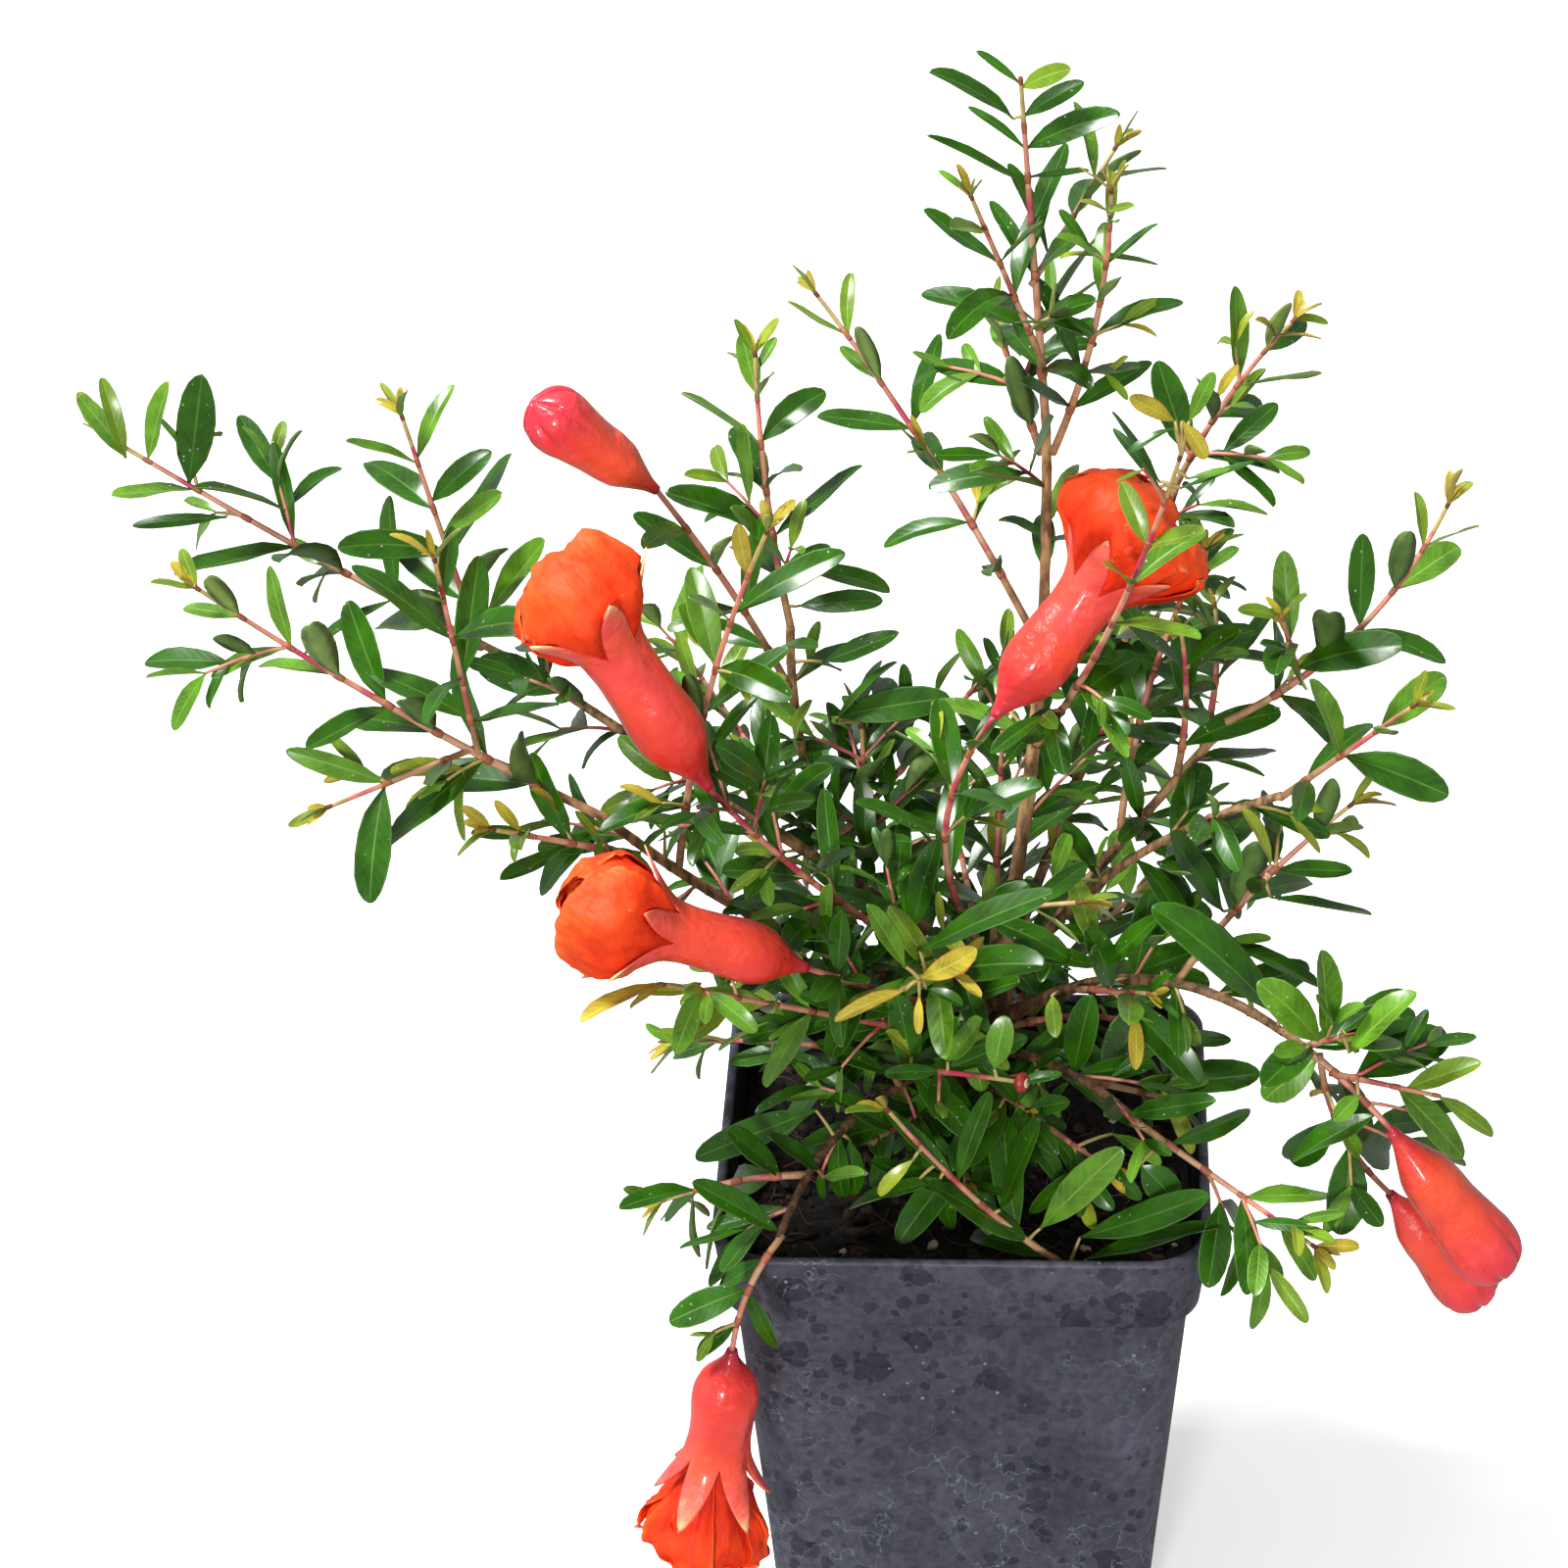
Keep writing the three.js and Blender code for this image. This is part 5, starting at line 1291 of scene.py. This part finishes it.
def petalSheets(foot, end, look, seed):
    # Each petal is a grid in the shape of a spoon, which across follows a circle of the flower's own
    # radius. Its tip is round and a little ragged.
    axis, first, second = frameAlong(foot, end)
    length = np.linalg.norm(end - foot)
    scale = length / calyx["fullLength"]
    shape = (petal["rows"], petal["columns"])
    s, t = np.meshgrid(np.linspace(0, 1, shape[0]), np.linspace(-1, 1, shape[1]), indexing="ij")
    parts, tints, places = [], [], []
    for k, row in enumerate(look["petals"]):
        facing, wide, layer = row[:3]
        centre = math.radians(facing)
        across = t * wide * look["belly"]
        own = np.stack([s * 21, across, np.full_like(s, 9.0 * k)], -1)
        edge = waves(own[..., 1:], seed + 20 + k, 7.0, 2) + 0.6 * waves(own[..., 1:], seed + 50 + k, 3.0, 2)
        around, angle, over, rise = petalMidline(s, t, row, look, edge, length / scale)
        outward = around * (np.cos(angle) - 1)
        cos, sin = math.cos(centre), math.sin(centre)
        up = rise + outward * np.sin(over) + 50
        place = np.stack([(around + outward) * np.cos(over), around * np.sin(angle), up], -1)
        place = place @ np.array(((cos, sin, 0), (-sin, cos, 0), (0, 0, 1)))
        relief, rim = petalRelief(s, t, over, place, own, seed, k)
        relief = look.get("ruffle", 1) * relief * np.clip((s - 0.1) / 0.35, 0, 1)
        outward = (around + relief) * np.cos(angle) - around
        radial = around * np.cos(over) + outward * np.cos(over)
        height = rise + outward * np.sin(over)
        sideways = (around + relief) * np.sin(angle)
        shrink = insideSepals(radial, height, sideways, centre, layer, look, seed, length / scale)
        radial, sideways = (radial * shrink)[..., None], (sideways * shrink)[..., None]
        ray, tangent = cos * first + sin * second, cos * second - sin * first
        points = foot + scale * (radial * ray + height[..., None] * axis + sideways * tangent)
        parts.append((points.reshape(-1, 3), gridFaces(*shape, False)))
        tints.append(petalTint(s, across, place, relief, rim, seed, k))
        places.append(np.stack([t * 0.5 + 0.5, s], -1).reshape(-1, 2))
    return *joined(parts), np.concatenate(tints), np.concatenate(places)


# Stamens fill each flower: a bundle of filaments from the throat, each with an anther at its end.
stamens = dict(
    count=70, start=0.36, throat=1.6, spread=3.3, low=0.62, high=0.8, filament=0.16, anther=0.42,
    knob=(0.5, 1.0, 0.9, 0.4),
)


def stamenParts(foot, end, look, seed):
    # Thin tubes that fan out from the throat, each with a short spindle at its end.
    axis, first, second = frameAlong(foot, end)
    length = np.linalg.norm(end - foot)
    rng = np.random.default_rng(seed)
    parts = []
    for _ in range(stamens["count"]):
        turn, out = rng.uniform(0, 2 * math.pi), math.sqrt(rng.random())
        ray = spreadFrom(first, second, turn)
        reach = rng.uniform(stamens["low"], stamens["high"]) * look["waist"] / 0.8 - 0.05 * out
        start = foot + stamens["start"] * length * axis + stamens["throat"] * out * ray
        tip = foot + reach * length * axis + stamens["spread"] * out * ray
        line, heading = along(limbCurve(start, tip, rng.normal(0, 0.15, 3)), np.linspace(0, 1, 5))
        parts.append((tube(line, np.full(5, stamens["filament"]), 4), 0))
        knob = tip + np.linspace(-0.4, 0.55, 4)[:, None] * unit(heading[-1] + rng.normal(0, 0.5, 3))
        parts.append((tube(knob, stamens["anther"] * np.array(stamens["knob"]), 5), 1))
    return parts


def flowerMaterial(name, colour, roughness, specular, subsurface, depth):
    # Flesh that lets some light through; also gives the share along it.
    material, shader = newMaterial(name, colour, roughness)
    shader.inputs["Specular IOR Level"].default_value = specular
    shader.inputs["Subsurface Weight"].default_value = subsurface
    shader.inputs["Subsurface Scale"].default_value = depth
    return material, shader, addNode(material, "ShaderNodeAttribute", attribute_name="share").outputs["Fac"]


def waxMaterial(name, stops):
    # Coral wax whose colour runs along it, flushed with pink here and there, with low dents.
    material, shader, share = flowerMaterial(name, (232, 60, 45), 0.34, 0.25, 0.08, 0.0012)
    pink = noiseRamp(material, [(0.42, 0.0), (0.62, 0.45)], 95, 2)
    colour = blended(material, pink, ramp(material, share, stops), linear(240, 74, 82))
    drift = noiseRamp(material, [(0.36, (238, 210, 214)), (0.62, (255, 255, 255))], 260)
    paint(material, shader, blended(material, 0.6, colour, drift, "MULTIPLY"))
    shader.inputs["Coat Weight"].default_value = 0.5
    shader.inputs["Coat Roughness"].default_value = 0.13
    addBump(material, shader, objectNoise(material, 200, 4), 0.8, 0.0016)
    return material


def petalMaterial():
    # Thin orange petals, a little lighter at the edge, darker where painted shade lies, with fine veins
    # along them.
    material, shader, share = flowerMaterial("petal", (238, 76, 26), 0.55, 0.2, 0.1, 0.001)
    stops = [
        (0.0, (206, 38, 16)), (0.3, (240, 62, 20)), (0.62, (250, 84, 28)), (0.85, (252, 108, 52)),
        (1.0, (254, 134, 82)),
    ]
    drift = noiseRamp(material, [(0.3, (235, 205, 200)), (0.7, (255, 255, 255))], 210)
    paint(material, shader, blended(material, 0.6, ramp(material, share, stops), drift, "MULTIPLY"))
    place = addNode(material, "ShaderNodeUVMap", uv_map="UVMap").outputs["UV"]
    mapped = addNode(material, "ShaderNodeMapping", {"Vector": place, "Scale": (15, 5, 1)}).outputs["Vector"]
    inputs = {"Vector": mapped, "Scale": 1.0, "Detail": 4.0}
    veins = addNode(material, "ShaderNodeTexNoise", inputs).outputs["Fac"]
    addBump(material, shader, mathNode(material, veins, objectNoise(material, 240, 4), "ADD"), 0.45, 0.001)
    return material


waxSkins = [
    waxMaterial("calyx", [
        (0.0, (164, 34, 56)), (0.08, (210, 44, 38)), (0.25, (243, 76, 48)), (0.41, (246, 86, 58)),
        (0.7, (247, 94, 76)), (0.88, (250, 128, 98)), (0.99, (255, 216, 152)),
    ]),
    waxMaterial("bud", [
        (0.0, (164, 34, 56)), (0.08, (216, 56, 46)), (0.3, (248, 92, 54)), (0.6, (246, 82, 58)),
        (0.84, (232, 62, 72)), (0.97, (208, 42, 66)),
    ]),
]
petalSkin = petalMaterial()
cups, stamenTubes, bearers = [], [], set()
for shoot in shoots:
    foot = along(shoot["curve"], 0.985)[0]
    name, ends, seed = shoot["name"], shoot["ends"], 60 + shoot["index"]
    if "bud" in ends:
        cups.append((*budBody(foot, np.array(ends["bud"], float), seed), 1))
        bearers.add(name)
    if "flower" in ends:
        look = blooms[name]
        end = np.array(look.get("end", ends["flower"]), float)
        cups.append((*calyxCup(foot, end, look, seed), 0))
        bearers.add(name)
        stamenTubes += stamenParts(foot, end, look, seed)
        points, faces, tint, places = petalSheets(foot, end, look, seed)
        pieceName = "petals" + name.split("_")[1].title()
        # The petals' share carries their painted shade in hollows and along crease lines.
        values = {"share": tint}
        piece = makePiece(pieceName, points, faces, [petalSkin], "blossom", [name], None, values, places)
        sheet = piece.modifiers.new("thickness", "SOLIDIFY")
        sheet.thickness, sheet.offset = petal["thickness"] * mm, 0
values = {"share": np.concatenate([tint for _, _, tint, _ in cups])}
which = np.concatenate([np.full(len(faces), kind) for _, faces, _, kind in cups])
parts = [(points, faces) for points, faces, _, _ in cups]
makePiece("calyxes", *joined(parts), waxSkins, "blossom", sorted(bearers), which, values)

skins = [
    mottled("filament", (226, 70, 34), 0.5, 0.1, 700),
    mottled("anther", (238, 186, 52), 0.75, 0.2, 1400, 0.5),
]
which = np.concatenate([np.full(len(part[1]), kind) for part, kind in stamenTubes])
makePiece("stamens", *joined([part for part, _ in stamenTubes]), skins, "blossom", sorted(blooms), which)


# The soil: a square top that dips to the walls, with crumbs, bark chips and fibres on it.
ground = dict(
    cells=90, roughness=0.9, scales=((14, 2, 0.9), (4.5, 3, 0.9), (1.6, 2, 0.35)),
    rings=(68.5, 66.9, 64.9, 30.0), step=67.5, underStep=64.9,
    chips=420, pale=16, brown=0.35, chipEdge=2.2, lump=(-16.0, -33.2, 71.6), lumpSize=2.1,
    fibres=330, fibreEdge=3.5, fibreTipEdge=1.5, fibreFoot=0.16, fibreTip=0.05,
)


def soilTop():
    # A square grid drawn in to the pot's round corners; its height dips to the walls and is rough at
    # three scales.
    cells = ground["cells"]
    half = innerHalf(np.array(float(soil["top"]))) - gap
    u, v = np.meshgrid(np.linspace(-1, 1, cells), np.linspace(-1, 1, cells), indexing="ij")
    x, y = u * half, v * half
    corner, straight = pot["corner"] - pot["lip"], half - pot["corner"] + pot["lip"]
    over = pastCorner(x, y, straight)
    inward = np.where(over > corner, corner / np.maximum(over, 0.01), 1)

    def drawnIn(side):
        far = np.abs(side)
        return np.sign(side) * np.where(far > straight, straight + (far - straight) * inward, far)

    x, y = drawnIn(x), drawnIn(y)
    place = np.stack([x, y], -1)
    edge = np.maximum(np.abs(u), np.abs(v))
    rough = 0
    for seed, (size, detail, share) in enumerate(ground["scales"], 1):
        rough = rough + waves(place, seed, size, detail) * share
    z = soil["top"] - soil["dip"] * edge**2 + ground["roughness"] * rough * np.clip((1 - edge) * 12, 0, 1)
    return np.stack([x, y, z], -1), half


def soilBody(top, half):
    # The top's rim goes down the walls, past the step under the pot's band, and closes at the floor.
    cells = ground["cells"]
    points = top.reshape(-1, 3)
    side = np.arange(cells - 1)
    rim = [side, side * cells + cells - 1, cells * cells - 1 - side, (cells - 1 - side) * cells]
    rim = np.concatenate(rim)
    count = len(rim)
    rings = []
    for height in (*ground["rings"], pot["floor"] + gap):
        wall = innerHalf(np.array(min(height, ground["underStep"]) if height < ground["step"] else height))
        ring = points[rim]
        ring[:, :2] *= (wall - gap) / half
        ring[:, 2] = height
        rings.append(ring)
    spot = np.arange(count)
    after = (spot + 1) % count
    levels = [rim] + [len(points) + k * count + spot for k in range(len(rings))]
    faces = [gridFaces(cells, cells, False)]
    for low, high in zip(levels[1:], levels):
        faces.append(np.stack([low[spot], low[after], high[after], high[spot]], -1))
    middle = np.full(count, len(points) + len(rings) * count)
    faces.append(np.stack([levels[-1][after], levels[-1][spot], middle, np.full(count, -1)], -1))
    points = np.concatenate([points] + rings + [[(0, 0, pot["floor"] + gap)]])
    skin, shader = newMaterial("soil", (40, 30, 24), 0.92)
    # Nearly black tones: the soil's own dark colour, made darker still as painted shade under the leaves.
    tones = [(0.35, (7, 5, 4)), (0.55, (17, 12, 9)), (0.72, (34, 23, 17)), (0.84, (62, 44, 33))]
    paint(skin, shader, noiseRamp(skin, tones, 900, 6))
    addBump(skin, shader, objectNoise(skin, 1600, 5), 0.9, 0.0006)
    makePiece("soilTop", points, np.concatenate(faces)[:, [3, 2, 1, 0]], [skin], "soil", ["soil"])


def chip(centre, size, rng, lean):
    # A crumb: a ball of 5 by 7 points, flattened and dented by noise.
    rows, columns = 5, 7
    tilt = np.linspace(0.25, math.pi - 0.25, rows)[:, None]
    angle = fullTurn(columns)
    ball = [np.sin(tilt) * np.cos(angle), np.sin(tilt) * np.sin(angle), np.cos(tilt) + 0 * angle]
    dents = 1 + 0.28 * rng.normal(size=(rows, columns, 1)).clip(-1, 1)
    ball = np.stack(ball, -1) * dents * size * rng.uniform((0.7, 0.5, 0.3), (1.3, 1, 0.8))
    turn, pitch = rng.uniform(0, 6.3), rng.uniform(-lean, lean)
    cos, sin = math.cos(turn), math.sin(turn)
    around = np.array(((cos, -sin, 0), (sin, cos, 0), (0, 0, 1)))
    cos, sin = math.cos(pitch), math.sin(pitch)
    over = np.array(((1, 0, 0), (0, cos, -sin), (0, sin, cos)))
    ball = ball @ over.T @ around.T + centre
    return capped(ball[::-1].reshape(-1, 3), rows, columns, ball[-1].mean(0), ball[0].mean(0))


def scattered(top, half, count, inset, rng):
    # Random places on the soil, each with the height of the grid's nearest point.
    for x, y in rng.uniform(-1, 1, (count, 2)) * (half - inset):
        i, j = (int(round((value / half + 1) / 2 * (ground["cells"] - 1))) for value in (x, y))
        yield np.array((x, y, top[i, j, 2]))


def soilChips(top, half, rng):
    # Crumbs and chips of bark, some of them pale, and one pale lump.
    parts, which = [], []
    skins = [
        mottled("chipDark", (20, 14, 11), 0.9, 0.3, 900, 0.5),
        mottled("chipBrown", (56, 38, 27), 0.85, 0.3, 900, 0.5),
        mottled("chipPale", (196, 184, 160), 0.8, 0.15, 700, 0.4),
    ]
    for k, centre in enumerate(scattered(top, half, ground["chips"], ground["chipEdge"], rng)):
        pale = k < ground["pale"]
        size = rng.uniform(0.6, 1.2) if pale else rng.uniform(0.5, 1.7)
        parts.append(chip(centre + worldUp * (0.2 * size), size, rng, 0.6))
        which.append(np.full(len(parts[-1][1]), 2 if pale else int(rng.random() < ground["brown"])))
    parts.append(chip(np.array(ground["lump"]), ground["lumpSize"], rng, 0.2))
    which.append(np.full(len(parts[-1][1]), 2))
    makePiece("soilChips", *joined(parts), skins, "soil", ["soil"], np.concatenate(which))


def soilFibres(top, half, rng):
    # Thin tapered tubes that bow a little and lie about on the soil.
    parts = []
    shares = np.linspace(0, 1, 6)
    for place in scattered(top, half, ground["fibres"], ground["fibreEdge"], rng):
        turn, reach = rng.uniform(0, 6.3), rng.uniform(2, 7)
        start = place + worldUp * 0.1
        tip = start + np.array((math.cos(turn), math.sin(turn), rng.uniform(-0.05, 0.25))) * reach
        limit = half - ground["fibreTipEdge"]
        tip[:2] = np.clip(tip[:2], -limit, limit)
        line = along(limbCurve(start, tip, rng.normal(0, 0.12, 3) * reach), shares)[0]
        parts.append(tube(line, mix(ground["fibreFoot"], ground["fibreTip"], shares), 4))
    skin = mottled("fibre", (84, 56, 38), 0.8, 0.35, 400)
    makePiece("soilFibres", *joined(parts), [skin], "soil", ["soil"])


top, half = soilTop()
soilBody(top, half)
soilRng = np.random.default_rng(21)
soilChips(top, half, soilRng)
soilFibres(top, half, soilRng)


# The pot.
potLook = dict(
    arcSteps=14, sideSteps=10, wallSteps=14, bandSteps=6, edge=0.35, lipRoll=0.8, lipSteps=9, sag=0.35,
    sagTop=66,
    insideHeights=(78.0, 75.0, 71.0, 68.0, 65.9, 50.0, 30.0, 10.0, 3.0),
)


def squareRing(half, corner):
    # One turn round a square with round corners, counter-clockwise from the right side's middle.
    corner = min(corner, half)
    straight = half - corner
    arc = np.linspace(0, math.pi / 2, potLook["arcSteps"] + 1)
    side = np.linspace(-1, 1, potLook["sideSteps"] + 1)[1:-1] * straight
    points = []
    for quarter in range(4):
        turn = quarter * math.pi / 2
        spin = np.array(((math.cos(turn), math.sin(turn)), (-math.sin(turn), math.cos(turn))))
        edge = np.stack([np.full_like(side, half), side], -1)
        bend = np.stack([straight + corner * np.cos(arc), straight + corner * np.sin(arc)], -1)
        points.append(np.concatenate([edge, bend]) @ spin)
    return np.concatenate(points)


def potProfile():
    # Half widths and heights: up the outside over the rolled rim, and down the inside.
    foot, shoulder, bandFoot, rim = (pot[key] / 2 for key in ("foot", "shoulder", "bandFoot", "rim"))
    level, height, roll = pot["height"] - pot["band"], pot["height"], potLook["lipRoll"]

    def straight(low, high, steps):
        # Even steps from one place of the profile to another.
        shares = [k / steps for k in range(1, steps + 1)]
        return [(mix(low[0], high[0], share), mix(low[1], high[1], share)) for share in shares]

    outside = [(foot - 1.4, 0.0), (foot - 0.5, 0.12), (foot - 0.1, 0.45), (foot, 1.0)]
    outside += straight((foot, 1.0), (shoulder, level - 0.9), potLook["wallSteps"])
    outside += [(shoulder + 0.12, level - 0.45), (shoulder + 0.5, level - 0.15)]
    outside += [(bandFoot - potLook["edge"], level + 0.05), (bandFoot, level + 0.4)]
    bandTop = (rim - potLook["edge"], height - 2.4)
    outside += straight((bandFoot, level + 0.4), bandTop, potLook["bandSteps"])
    for angle in np.linspace(-0.25, 1.0, potLook["lipSteps"]) * math.pi:
        outside.append((rim - roll + roll * math.cos(angle), height - roll + roll * math.sin(angle)))
    inside = [(float(innerHalf(np.array(z))), z) for z in potLook["insideHeights"]]
    inside += [(foot - pot["wall"] - 0.8, pot["floor"] + 0.2), (foot - pot["wall"] - 2, pot["floor"])]
    return outside, inside


def warpedPlace(material, scale, reach):
    # Object coordinates pushed aside by noise, by up to half the reach in metres.
    place = objectPlace(material)
    inputs = {"Vector": place, "Scale": scale, "Detail": 4.0}
    push = addNode(material, "ShaderNodeTexNoise", inputs).outputs["Color"]
    scaled = addNode(material, "ShaderNodeVectorMath", {0: push, "Scale": reach}, operation="SCALE")
    inputs = {0: place, 1: scaled.outputs[0]}
    return addNode(material, "ShaderNodeVectorMath", inputs, operation="ADD").outputs[0]


def driedDrops(material, scale, warp, reach):
    # Marks of dried drops: round a random point of each cell, as far out as the cell's random number
    # allows. Each is darker inside and has a thin pale rim.
    inputs = {"Vector": warpedPlace(material, warp, reach), "Scale": scale}
    cells = addNode(material, "ShaderNodeTexVoronoi", inputs)
    red = addNode(material, "ShaderNodeSeparateColor", {"Color": cells.outputs["Color"]}).outputs["Red"]
    far = mathNode(material, cells.outputs["Distance"], mathNode(material, red, 0.55), "ADD")
    inside, rim = [(0.0, (182, 183, 190)), (0.49, (170, 171, 178))], [(0.53, (255, 255, 255))]
    return ramp(material, far, inside + rim + [(0.59, (232, 232, 232))])


def potMaterial(name, dark, light):
    # Black moulded plastic, grey with dust, with the marks of dried drops in patches, fine pale scratches
    # and white specks.
    material, shader = newMaterial(name, dark, 0.5)
    dust = noiseRamp(material, [(0.3, dark), (0.7, light)], 55, 6)
    grain = noiseRamp(material, [(0.36, (190, 190, 194)), (0.62, (255, 255, 255))], 650, 4)
    dust = blended(material, 0.7, dust, grain, "MULTIPLY")
    large = blended(material, 1.0, dust, driedDrops(material, 165.0, 420.0, 0.0035), "MULTIPLY")
    small = blended(material, 1.0, large, driedDrops(material, 380.0, 800.0, 0.0015), "MULTIPLY")
    patch = noiseRamp(material, [(0.36, 0.35), (0.56, 1.0)], 30, 2)
    body = blended(material, patch, blended(material, 1.0, dust, linear(238, 238, 238), "MULTIPLY"), small)
    scratches = noiseRamp(material, [(0.492, 0.0), (0.5, 0.5), (0.508, 0.0)], 160, 5)
    there = noiseRamp(material, [(0.46, 0.0), (0.58, 1.0)], 48, 2)
    pale = linear(150, 156, 168)
    body = blended(material, mathNode(material, scratches, there), body, pale)
    dots = specks(material, 330.0, [(0.07, 0.7), (0.11, 0.0)], 75, 3, [(0.52, 0.0), (0.6, 1.0)])
    paint(material, shader, blended(material, dots, body, pale))
    shader.inputs["Specular IOR Level"].default_value = 0.3
    sheen = noiseRamp(material, [(0.3, 0.4), (0.7, 0.58)], 120, 3)
    material.node_tree.links.new(sheen, shader.inputs["Roughness"])
    addBump(material, shader, objectNoise(material, 1500, 3), 0.2, 0.0003)
    return material


def potPiece():
    # A ring at each row of the profile, closed at the underside and at the inner floor. The long sides bow
    # in a little, as thin moulded walls do.
    outside, inside = potProfile()
    rings = []
    for lip, rows in ((0, outside), (pot["lip"], inside)):
        for half, height in rows:
            flat = squareRing(half, pot["corner"] * (half / (pot["rim"] / 2)) ** 0.5 - lip)
            rings.append(np.concatenate([flat, np.full((len(flat), 1), height)], -1))
    columns = len(rings[0])
    points = np.concatenate(rings)
    x, y, z = points.T
    sag = potLook["sag"] * np.clip(1 - z / potLook["sagTop"], 0, 1) * np.clip(z / 20, 0, 1)
    widest = np.maximum(np.abs(x), np.abs(y))
    narrow = np.minimum(np.abs(x), np.abs(y)) / widest
    points[:, :2] *= (1 - sag * (1 - narrow**2) / widest)[:, None]
    points, faces = capped(points, len(rings), columns, (0, 0, 0), (0, 0, pot["floor"]))
    which = np.repeat([0] * (len(outside) - 1) + [1] * len(inside) + [0, 1], columns)
    skins = [
        potMaterial("potOutside", (72, 73, 86), (102, 103, 117)),
        # The inside is painted far darker than the dusty outside: painted shade in the hollow of the pot.
        potMaterial("potInsideShade", (15, 15, 18), (24, 24, 28)),
    ]
    makePiece("potShell", points, faces, skins, "pot", ["pot"], which)


potPiece()
print("plant and pot made")


# The floor, the light and the camera.
studio = dict(
    floor=6.0, glow=0.44, sky=0.42, sun=(-0.58, 0.06, 1.0), sunPower=5.2, sunSpread=15, aim=(0, 0, 0.12),
    lamps=(("keyLight", (-0.28, -1.6, 0.55), 16.0, 0.22), ("frontLight", (0.35, -1.6, 0.5), 6.0, 1.3)),
)


def shown(name, data):
    holder = bpy.data.objects.new(name, data)
    bpy.context.scene.collection.objects.link(holder)
    return holder


def lamp(name, kind, power, place, back):
    # A lamp at a place, which shines the other way from back.
    data = bpy.data.lights.new(name, kind)
    data.energy = power
    holder = shown(name, data)
    back = unit(np.array(back))
    right = unit(np.cross(worldUp, back))
    axes = np.stack([right, np.cross(back, right), back], -1)
    holder.matrix_world = Matrix([[*axes[i], place[i]] for i in range(3)] + [[0, 0, 0, 1]])
    return data, holder


def makeStudio():
    # A pale floor, an even sky, two lamps in front and a soft sun.
    half = studio["floor"] / 2
    mesh = bpy.data.meshes.new("floor")
    corners = [(-half, -half, 0), (half, -half, 0), (half, half, 0), (-half, half, 0)]
    mesh.from_pydata(corners, [], [(0, 1, 2, 3)])
    floor = shown("floor", mesh)
    material, shader = newMaterial("paleFloor", (232, 232, 232), 0.85)
    shader.inputs["Specular IOR Level"].default_value = 0.1
    shader.inputs["Emission Color"].default_value = (1, 1, 1, 1)
    shader.inputs["Emission Strength"].default_value = studio["glow"]
    mesh.materials.append(material)
    floor.visible_diffuse = False  # a white floor as bright as this would light the leaves from below
    floor.visible_glossy = False
    world = bpy.data.worlds.new("sky")
    world.use_nodes = True
    world.node_tree.nodes["Background"].inputs["Color"].default_value = (1, 1, 1, 1)
    world.node_tree.nodes["Background"].inputs["Strength"].default_value = studio["sky"]
    bpy.context.scene.world = world
    for name, place, power, size in studio["lamps"]:
        data, holder = lamp(name, "AREA", power, place, np.subtract(place, studio["aim"]))
        data.size = size
        holder.visible_glossy = size < 1  # a wide lamp would wash out the gloss
    sun = lamp("softSun", "SUN", studio["sunPower"], (0, 0, 0), studio["sun"])[0]
    sun.angle = math.radians(studio["sunSpread"])


def makeCamera():
    # The photograph's view: turned and pitched towards the pot, with a slight roll.
    view = dict(place=(11.5, -682.1, 538.5), turn=-3.24, pitch=30.19, roll=-1.24, lens=120.2, sensor=36.0)
    turn, pitch, roll = (math.radians(view[key]) for key in ("turn", "pitch", "roll"))
    ahead = np.array((math.sin(turn) * math.cos(pitch), math.cos(turn) * math.cos(pitch), -math.sin(pitch)))
    right = np.array((math.cos(turn), -math.sin(turn), 0))
    up = np.cross(right, ahead)
    cos, sin = math.cos(roll), math.sin(roll)
    axes = (cos * right + sin * up, cos * up - sin * right, -ahead)
    data = bpy.data.cameras.new("camera")
    data.lens, data.sensor_width = view["lens"], view["sensor"]
    camera = shown("camera", data)
    rows = [[axes[0][i], axes[1][i], axes[2][i], view["place"][i] * mm] for i in range(3)]
    camera.matrix_world = Matrix(rows + [[0, 0, 0, 1]])
    bpy.context.scene.camera = camera


makeStudio()
makeCamera()
bpy.context.scene.view_settings.view_transform = "Standard"
